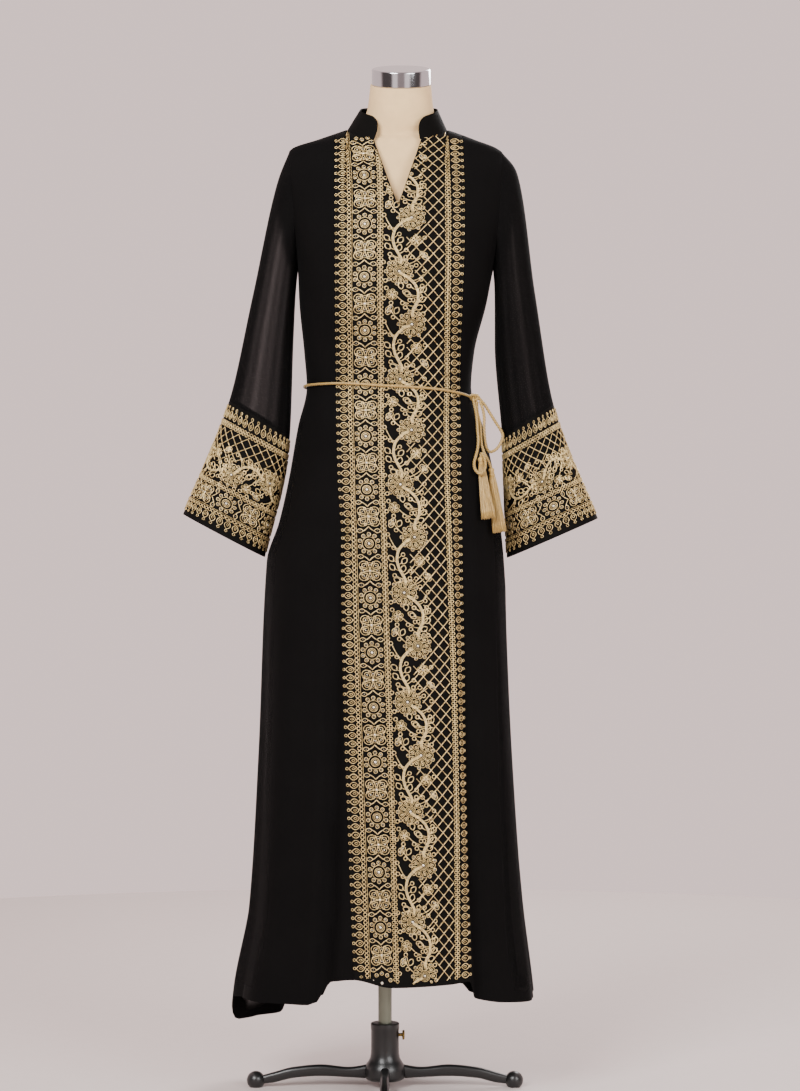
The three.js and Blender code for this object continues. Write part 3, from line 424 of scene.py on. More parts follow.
def panel_half(which):
    """Half of the embroidered front. Its inner edge is the middle line below the slit's foot."""
    outer_first = np.concatenate([np.linspace(0, 0.12, 5)[:-1], np.linspace(0.12, 1, 22)])
    shares = outer_first if which == "left" else outer_first[::-1]

    def middle(z):
        centre = (read(PANEL, "left", z) + read(PANEL, "right", z)) / 2
        return np.where(z > SLIT_FROM, SLIT_X, centre)

    def below(z):
        return blend(read(PANEL, which, z), middle(z), shares)

    def above(up):
        return blend(read(PANEL, which, blend(UNDERARM, SHOULDER_SEAM, up)), slit_x(which, up), shares)

    return body_grid(below, above, -1)


# The lining: its edges, and how far it lies inside the skirt at its sides, its ends and its top
LINING_TOP, LINING_RISE, LINING_LOWEST = 1100, 9, 156
LINING_LEFT, LINING_RIGHT, LINING_ENDS, LINING_GAP, LINING_EASE = 34, 26, 32, 5.6, 900


def lining_grid():
    """The skirt lining: the body's rings without folds, narrower towards the hem."""
    angle = np.linspace(0, 2 * np.pi, 121)[:-1]
    degrees = (np.degrees(angle) + 180) % 360 - 180
    bottom = np.maximum(read(HEM, "z", degrees) + LINING_RISE, LINING_LOWEST)
    z = blend(bottom, LINING_TOP, np.linspace(0, 1, 60)[:, None])
    down = np.clip((LINING_TOP - z) / LINING_EASE, 0, 1)
    side = np.where(np.sin(angle) < 0, LINING_LEFT, LINING_RIGHT)
    most = blend(LINING_ENDS, side, np.abs(np.sin(angle)) ** 3)
    inset = LINING_GAP + (most - LINING_GAP) * down
    facing = np.where(np.cos(angle) > 0, -1, 1) * np.ones_like(z)
    return on_rings(BODY, ring_x(BODY, angle, z), z, facing, False, inset)


# The sleeve's folds: how many, how high, and where they start. They fade below the cuff's seam, and the
# sleeve settles into the armhole, a little inside it, over the first part of its length.
SLEEVE_FOLDS = ((5, 2.5, 0.0), (9, 2.0, 1.1), (14, 1.0, 2.3))
FOLDS_FADE, SLEEVE_SETTLES, SLEEVE_OUT = 0.5, 0.3, -0.8


def sleeve_point(which, along, angle):
    """A point of a sleeve: an oval between its outer and inner lines, with long folds round it, drawn to
    the armhole's edge over the first part of its length."""
    rows = SLEEVE[which]
    share = (1 + np.cos(angle)) / 2
    x = blend(read(rows, "inner_x", along), read(rows, "outer_x", along), share)
    z = blend(read(rows, "inner_z", along), read(rows, "outer_z", along), share)
    deep = np.minimum(along, 1) * np.where(along > 1, np.clip(1 - (along - 1) / FOLDS_FADE, 0, 1), 1)
    wave = sum(high * np.sin(count * angle + start) for count, high, start in SLEEVE_FOLDS) * deep
    y = -(read(rows, "depth", along) + wave) * np.sin(angle)
    point = np.stack(np.broadcast_arrays(x, y, z), -1)
    settle = np.clip(1 - along / SLEEVE_SETTLES, 0, 1) ** 2
    hand = -1 if which == "left" else 1
    height = blend(UNDERARM, SHOULDER_TIP, share)
    side = np.where(np.sin(angle) > 0, -1, 1)
    hole = on_rings(BODY, read(ARMHOLE, which, height), height, side) + [hand * SLEEVE_OUT, 0, 0]
    start = np.stack(np.broadcast_arrays(
        blend(rows["inner_x"][0], rows["outer_x"][0], share),
        -rows["depth"][0] * np.sin(angle),
        blend(rows["inner_z"][0], rows["outer_z"][0], share),
    ), -1)
    return point + (hole - start) * settle[..., None]


# The cover's soft edges, how dense gathered chiffon is, and its streaks: how strong, how many, and where
# they start. Each sleeve is clearer than the body by its own share; the difference between the two is
# painted light and shade, the left sleeve clearer and the right one darker.
SOFT_EDGE = 2
GATHERED, STREAKS = 0.92, ((0.05, 7, 0.6), (0.035, 17, 0.0))
SLEEVE_CLEARER = {"left": 0.2, "right": 0.05}


def smooth(low, high, value):
    """A soft step from 0 at low to 1 at high."""
    share = np.clip((value - low) / (high - low), 0, 1)
    return share * share * (3 - 2 * share)


def body_cover(points, side):
    """How much of the light the body's chiffon stops: all of it above the lining's seam, where the lining
    lies close behind it and in its double hem, and its own share elsewhere."""
    x, _, z = points.T
    foot = hem_at(x, side)
    inset = blend(LINING_GAP, LINING_LEFT, np.clip((LINING_TOP - z) / LINING_EASE, 0, 1)) + 3
    inside = np.minimum(x - read(BODY, "left", z), read(BODY, "right", z) - x) - inset
    above = z - np.maximum(foot + LINING_RISE, LINING_LOWEST)
    lined = smooth(-SOFT_EDGE, SOFT_EDGE, inside) * smooth(SOFT_EDGE, 3 * SOFT_EDGE, above)
    dense = np.maximum(lined, smooth(-SOFT_EDGE, SOFT_EDGE, z - LINED_FROM))
    dense = np.maximum(dense, smooth(HEM_BAND + SOFT_EDGE, HEM_BAND - SOFT_EDGE, z - foot))
    return blend(settings().cloth.chiffon_cover, 1.0, dense)


def sleeve_cover(which, along, angle):
    """How much of the light the sleeve stops: little in the middle of its width, more where it is
    gathered at the armhole, at its two edges and above the cuff, with streaks along its folds."""
    base = settings().cloth.chiffon_cover - SLEEVE_CLEARER[which]
    share = (1 + np.cos(angle)) / 2
    dense = np.maximum(0.8 * smooth(0.8, 0.96, share), smooth(0.36, 0.08, share))
    dense = np.maximum(dense, np.maximum(smooth(0.26, 0.1, along), smooth(0.975, 0.985, along)))
    streaks = sum(deep * np.sin(count * angle + start) for deep, count, start in STREAKS)
    return np.clip(blend(base, GATHERED, dense) + streaks * (1 - dense), 0, 1)


def sleeve_grid(which, first, last, rows):
    """Grid round a sleeve between two places along it, 0 at the armhole and 1 at the cuff's seam, and
    the cover at its points."""
    along = np.linspace(first, last, rows)[:, None] * np.ones(96)
    angle = np.linspace(0, 2 * np.pi, 97)[:-1] * np.ones_like(along)
    grid, cover = sleeve_point(which, along, angle), sleeve_cover(which, along, angle)
    return (grid[::-1], cover[::-1]) if which == "left" else (grid, cover)


# The collar's top oval, its height, round corners, front gap and wall, and how deep its foot stands
COLLAR_X, COLLAR_ACROSS, COLLAR_FRONT, COLLAR_BACK = 14, 64, 57, 62
COLLAR_HEIGHT, COLLAR_CORNER, COLLAR_GAP = 34, 20, math.radians(27)
COLLAR_WALL, COLLAR_FOOT = 1.6, 1.6


def collar_grid():
    """The stand collar, from the neckline up and in to the neck, with its two front corners rounded."""
    angle = np.linspace(COLLAR_GAP, 2 * np.pi - COLLAR_GAP, 120)
    foot = neckline(angle)
    reach = np.where(np.cos(angle) > 0, COLLAR_FRONT, COLLAR_BACK)
    top = np.stack([
        COLLAR_X + COLLAR_ACROSS * np.sin(angle), -reach * np.cos(angle), foot[:, 2] + COLLAR_HEIGHT,
    ], -1)
    from_end = np.minimum(angle - COLLAR_GAP, 2 * np.pi - COLLAR_GAP - angle) * COLLAR_ACROSS
    near = np.clip(1 - from_end / COLLAR_CORNER, 0, 1)
    height = 1 - COLLAR_CORNER / COLLAR_HEIGHT * (1 - np.sqrt(1 - near ** 2))
    foot[:, 2] -= COLLAR_FOOT
    return blend(foot, top, np.linspace(0, 1, 14)[:, None, None] * height[:, None])


def grid_faces(rows, columns, wrap=False, loop=False):
    """Quads of a grid, outward where columns run to the right as seen from outside and rows run up.
    wrap joins the last column to the first, and loop the last row to the first."""
    i, j = np.meshgrid(np.arange(rows if loop else rows - 1), np.arange(columns if wrap else columns - 1),
                       indexing="ij")
    up, right = (i + 1) % rows, (j + 1) % columns
    corners = [i * columns + j, i * columns + right, up * columns + right, up * columns + j]
    return np.stack(corners, -1).reshape(-1, 4)


def shell(outer, thickness, wrap=False):
    """A closed wall of cloth. The grid is its outer side, the inner side lies the thickness behind it
    along the grid's own normals, and a strip closes every open edge."""
    rows, columns = outer.shape[:2]
    padded = np.concatenate([outer[:, -1:], outer, outer[:, :1]], 1) if wrap else outer
    ahead = np.gradient(padded, axis=1)
    ahead = ahead[:, 1:-1] if wrap else ahead
    inner = outer - unit(np.cross(ahead, np.gradient(outer, axis=0))) * thickness
    count = rows * columns
    index = np.arange(count).reshape(rows, columns)
    if wrap:
        rims = [np.append(index[0], index[0, 0]), np.append(index[-1], index[-1, 0])[::-1]]
    else:
        rims = [np.concatenate([index[0], index[1:, -1], index[-1, -2::-1], index[-2::-1, 0]])]
    faces = grid_faces(rows, columns, wrap)
    strips = [np.stack([r[1:], r[:-1], r[:-1] + count, r[1:] + count], -1) for r in rims]
    points = np.concatenate([outer.reshape(-1, 3), inner.reshape(-1, 3)])
    return points, np.concatenate([faces, faces[:, ::-1] + count, *strips])


def capped(rings, middles):
    """A closed tube from its rings of points, and the middles of its first and last ring."""
    rows, sides = rings.shape[:2]
    count = rows * sides
    here = np.arange(sides)
    after = (here + 1) % sides
    last = count - sides
    ends = np.concatenate([
        np.stack([after, here, np.full(sides, count)], -1),
        np.stack([here + last, after + last, np.full(sides, count + 1)], -1),
    ])
    return np.concatenate([rings.reshape(-1, 3), middles]), [grid_faces(rows, sides, wrap=True), ends]


def spun(outline, segments, middle=(0.0, 0.0)):
    """Rings of points about the vertical, from an outline of radius and height."""
    outline = np.asarray(outline, float)
    flat = outline[:, 0, None, None] * heading(round_angles(segments)) + np.asarray(middle)
    return np.concatenate([flat, np.broadcast_to(outline[:, 1, None, None], (*flat.shape[:2], 1))], -1)


def turned(outline, segments, middle=(0.0, 0.0)):
    """A body of revolution about the vertical, from its outline, which starts and ends on the axis."""
    tips = np.array([[*middle, height] for height in (outline[0][1], outline[-1][1])])
    return capped(spun(outline[1:-1], segments, middle), tips)


def repeated(faces, many, step):
    """The faces of one mesh, again for each of many copies that follow each other by step points."""
    return (faces + np.arange(many)[:, None, None] * step).reshape(-1, faces.shape[-1])


def joined(*parts):
    """Several meshes as one: their points after each other, and their faces moved on to match."""
    starts = np.cumsum([0] + [len(points) for points, _ in parts])
    faces = []
    for start, (_, part) in zip(starts, parts):
        faces += [block + start for block in (part if isinstance(part, list) else [part])]
    return np.concatenate([points for points, _ in parts]), faces


def mesh_of(name, parts):
    """A mesh from points in millimetres and its faces."""
    points, faces = parts
    blocks = faces if isinstance(faces, list) else [faces]
    mesh = bpy.data.meshes.new(name)
    mesh.from_pydata((points * MM).tolist(), [], [face for block in blocks for face in block.tolist()])
    return mesh


def piece(name, parts, look, crease=45.0, body=BODY_NAME, node=None, values=None):
    """A finished object at the origin, from points in millimetres and its faces. It is shaded smooth,
    with a crease where two faces meet at more than the given degrees, rides on a body, and stands for a
    node of the frame. values are numbers for its points, by name, that its material reads."""
    mesh = mesh_of(name, parts)
    mesh.validate()
    mesh.polygons.foreach_set("use_smooth", np.ones(len(mesh.polygons), bool))
    if crease:
        mesh.set_sharp_from_angle(angle=math.radians(crease))
    for value_name, numbers in (values or {}).items():
        mesh.attributes.new(value_name, "FLOAT", "POINT").data.foreach_set("value", np.ravel(numbers))
    mesh.materials.append(look)
    made = bpy.data.objects.new(name, mesh)
    bpy.context.scene.collection.objects.link(made)
    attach(made, body)
    if node:
        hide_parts(node)
    return made


def cloth_piece(node, parts, look, values=None):
    """A piece of cloth that stands for a node."""
    made = piece(f"{node}_cloth", parts, look, node=node, values=values)


def add(tree, kind, sockets=None, **properties):
    """Adds a node to a material, sets its properties, and sets or joins its sockets."""
    made = tree.nodes.new(kind)
    for name, value in properties.items():
        setattr(made, name, value)
    for socket, value in (sockets or {}).items():
        if isinstance(value, bpy.types.NodeSocket):
            tree.links.new(value, made.inputs[socket])
        else:
            made.inputs[socket].default_value = value
    return made


def material(name, base, roughness, **sockets):
    """A new material with one Principled shader, and the coordinates its patterns use."""
    made = bpy.data.materials.new(name)
    made.use_nodes = True
    shader = made.node_tree.nodes["Principled BSDF"]
    shader.inputs["Base Color"].default_value = (*base, 1)
    shader.inputs["Roughness"].default_value = roughness
    for socket, value in sockets.items():
        shader.inputs[socket.replace("_", " ")].default_value = value
    place = add(made.node_tree, "ShaderNodeTexCoord").outputs["Object"]
    return made, made.node_tree, shader, place


def mix_colours(tree, factor, first, second):
    """The colour between two colours at a factor."""
    mixed = add(tree, "ShaderNodeMix", data_type="RGBA")
    tree.links.new(factor, mixed.inputs[0])
    mixed.inputs[6].default_value = (*first, 1)
    mixed.inputs[7].default_value = (*second, 1)
    return mixed.outputs[2]


def shade(base, times):
    """A colour made lighter or darker."""
    return tuple(min(c * times, 1) for c in base)


def tint(tree, shader, factor, first, second):
    """Colours a shader between two colours at a factor."""
    tree.links.new(mix_colours(tree, factor, first, second), shader.inputs["Base Color"])


def noise(tree, place, scale, detail):
    """Cloudy noise of a scale."""
    found = add(tree, "ShaderNodeTexNoise", {"Vector": place, "Scale": scale, "Detail": detail})
    return found.outputs["Fac"]


def raise_by(tree, shader, height, strength, distance):
    """Bump from a pattern of heights, over a distance in millimetres."""
    bump = add(tree, "ShaderNodeBump", {
        "Strength": strength, "Distance": distance * MM, "Height": height,
    })
    tree.links.new(bump.outputs["Normal"], shader.inputs["Normal"])


def of_both(tree, operation, first, second):
    """A sum or product of two values."""
    return add(tree, "ShaderNodeMath", {0: first, 1: second}, operation=operation)


def woven(name, base, roughness, sheen, gloss, clouds, shades, threads):
    """A cloth with a sheen and its roughness, a gloss, clouds of a scale and detail between two shades,
    and threads at a spacing in millimetres that cross at right angles, as bump of a strength."""
    made, tree, shader, place = material(
        name, base, roughness, Sheen_Weight=sheen[0], Sheen_Roughness=sheen[1], Specular_IOR_Level=gloss,
    )
    tint(tree, shader, noise(tree, place, *clouds), *(shade(base, times) for times in shades))
    spacing, strength = threads
    waves = [add(tree, "ShaderNodeTexWave", {
        "Vector": place, "Scale": 1 / (spacing * MM) / 3, "Distortion": 3.0, "Detail": 1.0,
    }, bands_direction=way).outputs["Fac"] for way in "XZ"]
    raise_by(tree, shader, of_both(tree, "ADD", *waves).outputs[0], strength, 0.2)
    return made


def chiffon(name):
    """Crepe chiffon, plain woven of hard-twisted yarn: matt, with a faint bloom where it turns away. Its
    threads are 0.3 mm apart and are drawn at 1 mm, so that they show. How much light it stops comes from
    its points' own cover."""
    base = settings().cloth.chiffon_colour
    made = woven(name, base, 0.85, (0.01, 0.45), 0.04, (14.0, 3.0), (0.8, 1.25), (1.0, 0.25))
    tree = made.node_tree
    cover = add(tree, "ShaderNodeAttribute", attribute_name="cover")
    tree.links.new(cover.outputs["Fac"], tree.nodes["Principled BSDF"].inputs["Alpha"])
    return made


def dark_cloth(name, base, roughness, spacing):
    """A dense black cloth: the lining's twill, the collar's facing or the ground of the trim."""
    return woven(name, base, roughness, (0.01, 0.4), 0.05, (30.0, 4.0), (0.8, 1.3), (spacing, 0.3))


def metallic_thread(name, light, dark, shine):
    """Lurex wrapped round a cotton core, couched or in satin stitch: warm and half metallic, with painted
    light on its crest, painted shade down its sides to its feet, and painted glints in patches every few
    millimetres."""
    made, tree, shader, place = material(name, light, 0.42, Metallic=shine, Specular_IOR_Level=0.55)
    # Painted glints: noise lightens or darkens the thread's colour in patches a few millimetres wide.
    glint = noise(tree, place, 330.0, 2.0)
    ridge = add(tree, "ShaderNodeAttribute", attribute_name="ridge")
    spread = add(tree, "ShaderNodeMapRange", {
        "Value": glint, "From Min": 0.3, "From Max": 0.7, "To Min": -0.5, "To Max": 0.35,
    })
    lit = of_both(tree, "ADD", ridge.outputs["Fac"], spread.outputs["Result"])
    lit.use_clamp = True
    # Painted light and shade: 1 on a thread's crest gives the lightened thread colour, 0 at its feet gives
    # the painted shade colour.
    tint(tree, shader, lit.outputs[0], dark, shade(light, 1.3))
    raise_by(tree, shader, glint, 0.5, 0.3)
    return made


def stones():
    """Foiled sequins and glass stones: bright, silvery gold, with a hard gloss and painted glints, lighter
    round points a few millimetres apart and darker between them.
    """
    base = settings().embroidery.stone_colour
    made, tree, shader, place = material("Foiled stones", base, 0.22, Metallic=0.7)
    facet_glints = add(tree, "ShaderNodeTexVoronoi", {"Vector": place, "Scale": 420.0})
    # Painted glints: the colour is lightest at each cell's point and darker out towards its edges.
    tint(tree, shader, facet_glints.outputs["Distance"], shade(base, 1.15), shade(base, 0.45))
    return made


def satin_cord():
    """Viscose cord and floss: fine parallel filaments with a soft gloss along the strand, with painted
    shade in the grooves between the plies and on a tassel's inner strands, and painted light on the plies'
    backs."""
    base = settings().belt.cord_colour
    made, tree, shader, place = material(
        "Satin viscose cord", base, 0.42, Sheen_Weight=0.3, Sheen_Roughness=0.3, Specular_IOR_Level=0.6,
    )
    stretched = add(tree, "ShaderNodeMapping", {"Vector": place, "Scale": (900.0, 900.0, 120.0)})
    floss = noise(tree, stretched.outputs[0], 1.0, 3.0)
    # Painted light and shade: the ridge value, high on the plies' backs and low in the grooves, times the
    # floss streaks, mixes a darkened cord colour up to a lightened one.
    ridge = add(tree, "ShaderNodeAttribute", attribute_name="ridge")
    lit = of_both(tree, "MULTIPLY", ridge.outputs["Fac"], floss)
    tint(tree, shader, lit.outputs[0], shade(base, 0.25), shade(base, 1.75))
    raise_by(tree, shader, floss, 0.4, 0.2)
    return made


def linen():
    """Unbleached linen jersey pulled over the form: dull, warm, with slubs. Its threads are 0.6 mm apart
    and are drawn at 1.2 mm, so that they show."""
    base = settings().stand.linen_colour
    return woven("Linen jersey", base, 0.9, (0.15, 0.5), 0.2, (60.0, 6.0), (0.86, 1.08), (1.2, 0.35))


def hard(name, base, roughness, metallic, grain, depth, wear):
    """A hard finish with grain of a size in millimetres, and lighter or darker wear in patches."""
    made, tree, shader, place = material(name, base, roughness, Metallic=metallic)
    tint(tree, shader, noise(tree, place, 35.0, 6.0), shade(base, 1 - wear), shade(base, 1 + wear))
    raise_by(tree, shader, noise(tree, place, 1 / (grain * MM), 2.0), 0.4, depth)
    return made


# The front's chart: the trim's width, what it spans, the size of its table, and what it keeps
CHART = 206.0
CHART_FOOT, CHART_TOP, CHART_PAST_LEFT, CHART_PAST_RIGHT = 120, 1577, 2.0, 1.0
CHART_ROWS, CHART_COLUMNS, MEASURED_COLUMN = 360, 81, 16
FIRST_ROSETTE = 809.3
SEAM_TAKES, KEPT_SHARE, HEM_CLEAR = 0.05, 0.4, 5


class FrontChart:
    """The embroidery's own coordinates on the front: u is the length across the trim from its left edge,
    v the length up it from a rosette's middle, both measured on the cloth."""

    def __init__(self):
        self.z = np.linspace(CHART_FOOT, CHART_TOP, CHART_ROWS)
        share = np.linspace(0, 1, CHART_COLUMNS)
        left = read(PANEL, "left", self.z)[:, None] - CHART_PAST_LEFT
        right = read(PANEL, "right", self.z)[:, None] + CHART_PAST_RIGHT
        x = blend(left, right, share)
        points = body_point(x, self.z[:, None] * np.ones_like(x), -1)
        across = steps_along(points, 1)
        across *= CHART / across[:, -1:]
        apart = 2 * CHART * np.arange(CHART_ROWS)[:, None]
        wanted = np.linspace(0, CHART, CHART_COLUMNS) + apart
        self.x = np.interp(wanted.ravel(), (across + apart).ravel(), x.ravel()).reshape(x.shape)
        up = steps_along(points[:, MEASURED_COLUMN], 0)
        self.v = up - np.interp(FIRST_ROSETTE, self.z, up)

    def flat(self, u, v):
        """The x and z of chart coordinates, from the table by its two nearest rows and columns."""
        z = np.interp(v, self.v, self.z)
        row = (z - self.z[0]) / (self.z[1] - self.z[0])
        column = np.clip(u / CHART, 0, 1) * (CHART_COLUMNS - 1)
        i = np.clip(row.astype(int), 0, CHART_ROWS - 2)
        j = np.clip(column.astype(int), 0, CHART_COLUMNS - 2)
        down, along = row - i, column - j
        lower = blend(self.x[i, j], self.x[i, j + 1], along)
        upper = blend(self.x[i + 1, j], self.x[i + 1, j + 1], along)
        return blend(lower, upper, down), z

    def fitted(self, x, z):
        """Points drawn in from beyond the neckline and the slit, whose seams take the threads' ends: what
        lies beyond a seam's line is brought to a twentieth of its distance from it."""
        top = top_edge(x, -1)[..., 2]
        z = np.where(z > top - 1, blend(top - 1, z, SEAM_TAKES), z)
        up = (z - UNDERARM) / (top - UNDERARM)
        left, right = slit_x("left", up) - 1, slit_x("right", up) + 1
        edge = np.where(x < (left + right) / 2, left, right)
        beyond = (x > left) & (x < right) & (z > SLIT_FOOT - 4)
        return np.where(beyond, blend(edge, x, SEAM_TAKES), x), z

    def place(self, u, v, lift):
        """Points at a height above the cloth."""
        return on_front(*self.fitted(*self.flat(u, v)), lift)

    def keeps(self, paths):
        """Which paths have more than two fifths of their points on the cloth, don't bridge the slit, and
        lie wholly clear of the hem."""
        x, z = self.flat(paths[..., 0], paths[..., 1])
        at_x, at_z = self.fitted(x, z)
        on_cloth = (at_x == x) & (at_z == z)
        up = (z - UNDERARM) / (top_edge(x, -1)[..., 2] - UNDERARM)
        left_half = x < (slit_x("left", up) + slit_x("right", up)) / 2
        bridges = left_half.any(-1) & ~left_half.all(-1) & (z > SLIT_FOOT).any(-1)
        above_hem = (z > hem_at(x, -1) + HEM_CLEAR).all(-1)
        return (on_cloth.mean(-1) > KEPT_SHARE) & ~bridges & above_hem


def on_front(x, z, lift):
    """Points at a height above the front's cloth, at x and z."""
    point = body_point(x, z, -1)
    ahead = body_point(x + 1, z, -1) - body_point(x - 1, z, -1)
    up = point - body_point(x, z - 2, -1)
    return point + unit(np.cross(ahead, up)) * np.asarray(lift)[..., None]


# A cuff's chart: the length round it, the height that the trim is fitted to, and where it starts
CUFF_ROUND = 435.0
CUFF_HEIGHT, CUFF_FOOT, CUFF_SCALE = 201.0, 7.0, 0.925
CUFF_START, CUFF_THREAD = math.radians(82), 0.92


class CuffChart:
    """The same trim run round a cuff, its left edge at the cuff's hem: u goes up the cuff and v round it,
    to the left as seen from outside."""

    def __init__(self, which):
        self.which = which
        self.way = -1 if which == "left" else 1

    def point(self, u, v):
        """Points on the cuff's outer side."""
        along = 2 - (CUFF_FOOT + u * CUFF_SCALE) / CUFF_HEIGHT
        return sleeve_point(self.which, along, CUFF_START + self.way * v / CUFF_ROUND * 2 * np.pi)

    def place(self, u, v, lift):
        """Points at a height above the cuff."""
        ahead = self.point(u + 1, v) - self.point(u - 1, v)
        up = self.point(u, v + 1) - self.point(u, v - 1)
        return self.point(u, v) + unit(np.cross(ahead, up)) * np.asarray(lift)[..., None]

    def keeps(self, paths):
        """Every path fits on the cuff."""
        return np.ones(paths.shape[:-2], bool)


def circle(radius, count=10):
    """A round path."""
    return heading(round_angles(count)) * radius


def pear(length, width, count=14):
    """A drop that is pointed at the origin and round at its far end, along +u."""
    t = round_angles(count)
    return np.stack([length / 2 * (1 - np.cos(t)), width / 2 * 1.3 * np.sin(t) * np.sin(t / 2)], -1)


def lens(length, width, count=16):
    """A closed shape that is pointed at both ends, from the origin along +u."""
    t = round_angles(count)
    return np.stack([length / 2 * (1 - np.cos(t)), width / 2 * np.sin(t) * np.abs(np.sin(t)) ** 0.7], -1)


def copies(path, at, turn=0.0):
    """Copies of a path, each turned about its origin and moved to its own place."""
    at = np.atleast_2d(np.asarray(at, float))
    turn = np.broadcast_to(turn, len(at))[:, None]
    u, v = path.T
    turned = np.stack([u * np.cos(turn) - v * np.sin(turn), u * np.sin(turn) + v * np.cos(turn)], -1)
    return turned + at[:, None]


def around(at, radius, count, start=0.0):
    """Places on circles round each of several places, and the direction of each from its middle."""
    at = np.atleast_2d(np.asarray(at, float))
    angle = start + round_angles(count)
    return (at[:, None] + heading(angle) * radius).reshape(-1, 2), np.tile(angle, len(at))


def column(u, v):
    """Places at one length across the trim and several lengths up it."""
    return np.stack([np.full(len(v), u), v], -1)


# How deep threads and stones stand in the cloth, and the radius and rise of a stone's shoulder
THREAD_SINK, DOME_SHOULDER, DOME_RISE = -0.1, 0.7, 0.75


class Stitches:
    """Threads and stones that are laid on one chart, gathered by material."""

    def __init__(self, chart, width, height):
        self.chart, self.width, self.height = chart, width, height
        self.parts = {}

    def keep(self, kind, uv, lift, faces, ridge):
        """Places one mesh's points on the chart and gathers it, with how near each is to a crest."""
        points = self.chart.place(uv[..., 0], uv[..., 1], lift + np.zeros(uv.shape[:-1])).reshape(-1, 3)
        self.parts.setdefault(kind, []).append((points, faces, ridge))

    def threads(self, kind, paths, closed=True, width=1.0, height=1.0):
        """Lays threads along paths. The section is a ridge between two feet that stand in the cloth, half
        a width to each side. width and height are shares of the common thread's."""
        paths = paths[self.chart.keeps(paths)]
        many, count = paths.shape[:2]
        if not many:
            return
        ahead = np.roll(paths, -1, 1) - np.roll(paths, 1, 1) if closed else np.gradient(paths, axis=1)
        ahead = unit(ahead)
        foot = np.stack([-ahead[..., 1], ahead[..., 0]], -1) * self.width * width / 2
        feet = np.stack([paths + foot, paths, paths - foot], 2)
        faces = [repeated(grid_faces(count, 3, wrap=True, loop=closed), many, count * 3)]
        if not closed:
            last = (count - 1) * 3
            ends = np.array([[0, 2, 1], [last + 2, last, last + 1]])
            faces.append(repeated(ends, many, count * 3))
        lift = np.array([THREAD_SINK, self.height * height, THREAD_SINK])
        self.keep(kind, feet, lift, faces, np.tile([0.0, 1.0, 0.0], many * count))

    def lay(self, kind, shape, at, turn=0.0, width=1.0, height=1.0):
        """Lays threads along copies of a closed shape."""
        self.threads(kind, copies(shape, at, turn), True, width, height)

    def stones(self, at, radius, height, sides=8):
        """Sets low domes: a foot ring, a narrower ring on its shoulder, and a crown."""
        at = np.atleast_2d(at)
        at = at[self.chart.keeps(at[:, None])]
        if not len(at):
            return
        spots = [circle(radius, sides), circle(radius * DOME_SHOULDER, sides), np.zeros((1, 2))]
        lift = np.repeat([THREAD_SINK, height * DOME_RISE, height], [sides, sides, 1])
        here = np.arange(sides)
        after = (here + 1) % sides
        blocks = (
            np.stack([here, after, after + sides, here + sides], -1),
            np.stack([here + sides, after + sides, np.full(sides, 2 * sides)], -1),
            np.stack([np.zeros(sides - 2, int), here[2:], here[1:-1]], -1),
        )
        count = 2 * sides + 1
        faces = [repeated(block, len(at), count) for block in blocks]
        self.keep("stones", at[:, None] + np.concatenate(spots), lift, faces, np.ones(len(at) * count))

    def make(self, name, looks):
        """One object for each material that was used."""
        for kind, parts in self.parts.items():
            mesh = joined(*((points, faces) for points, faces, _ in parts))
            ridge = np.concatenate([ridge for _, _, ridge in parts])
            piece(f"{name}_{kind}", mesh, looks[kind], None, values={"ridge": ridge})


def steps(start, stop, spacing):
    """Even steps that fill a length exactly, at about a spacing, and the true spacing."""
    count = max(int(round((stop - start) / spacing)), 1)
    return start + np.arange(count) * (stop - start) / count, (stop - start) / count


def edge_drops(work, places, edge, way):
    """Loops along an edge of the trim: a small ring at the tip, then an eye with a seed in it."""
    turn = 0.0 if way > 0 else np.pi
    spots = column(edge, places)
    work.lay("edging", circle(2.1, 9), spots + [way * 3.0, 0], width=0.7)
    work.lay("edging", lens(13.4, 9.6, 18), spots + [way * 6.2, 0], turn, 0.85)
    work.lay("edging", lens(5.6, 3.2, 8), spots + [way * 10.8, 0], turn, 0.6, 0.8)


def twist(work, middle, start, stop):
    """Two threads that cross each other every 6.4 mm, beside a thin straight one, all in half-turn
    lengths that overlap a little."""
    lengths, turn = steps(start, stop, 12.8)
    lengths = np.concatenate([lengths, lengths + turn / 2])
    v = lengths[:, None] + np.linspace(0, turn * 0.53, 7)
    for strand in range(2):
        u = middle + 2.9 * np.sin(2 * np.pi * v / turn + strand * np.pi)
        work.threads("edging", np.stack([u, v], -1), False, 0.9, 1.0 + 0.25 * strand)
    line = np.stack([np.full((len(v), 3), middle + 4.9), v[:, ::3]], -1)
    work.threads("edging", line, False, 0.6)


def chain(work, middle, start, stop):
    """Two columns of small loops, each half a step on from the other."""
    lengths, step = steps(start, stop, 6.4)
    for side in (-1, 1):
        spots = column(middle + 2.1 * side, lengths + step / 4 * side)
        work.lay("edging", circle(2.35, 9), spots, width=0.8, height=1.0 + 0.15 * side)


def ring_of_rings(work, kind, at, radius, count, start, ring, stone):
    """Small rings with a stone in each, round each of several places. ring is the ring's radius, points,
    width and height, and stone the stone's radius."""
    spots, _ = around(at, radius, count, start)
    work.lay(kind, circle(*ring[:2]), spots, 0.0, *ring[2:])
    work.stones(spots, stone, 1.0, 6)


def rosettes(work, at):
    """Rosettes: a stone in two thread rings, a bare groove, and ten petals round a third ring."""
    work.stones(at, 3.0, 2.0, 10)
    for radius, count, width in ((4.4, 14, 0.8), (6.6, 18, 0.85), (10.9, 24, 0.65)):
        work.lay("band", circle(radius, count), at, width=width)
    ring_of_rings(work, "band", at, 15.0, 10, np.pi / 10, (2.8, 10, 0.9, 1.1), 1.15)


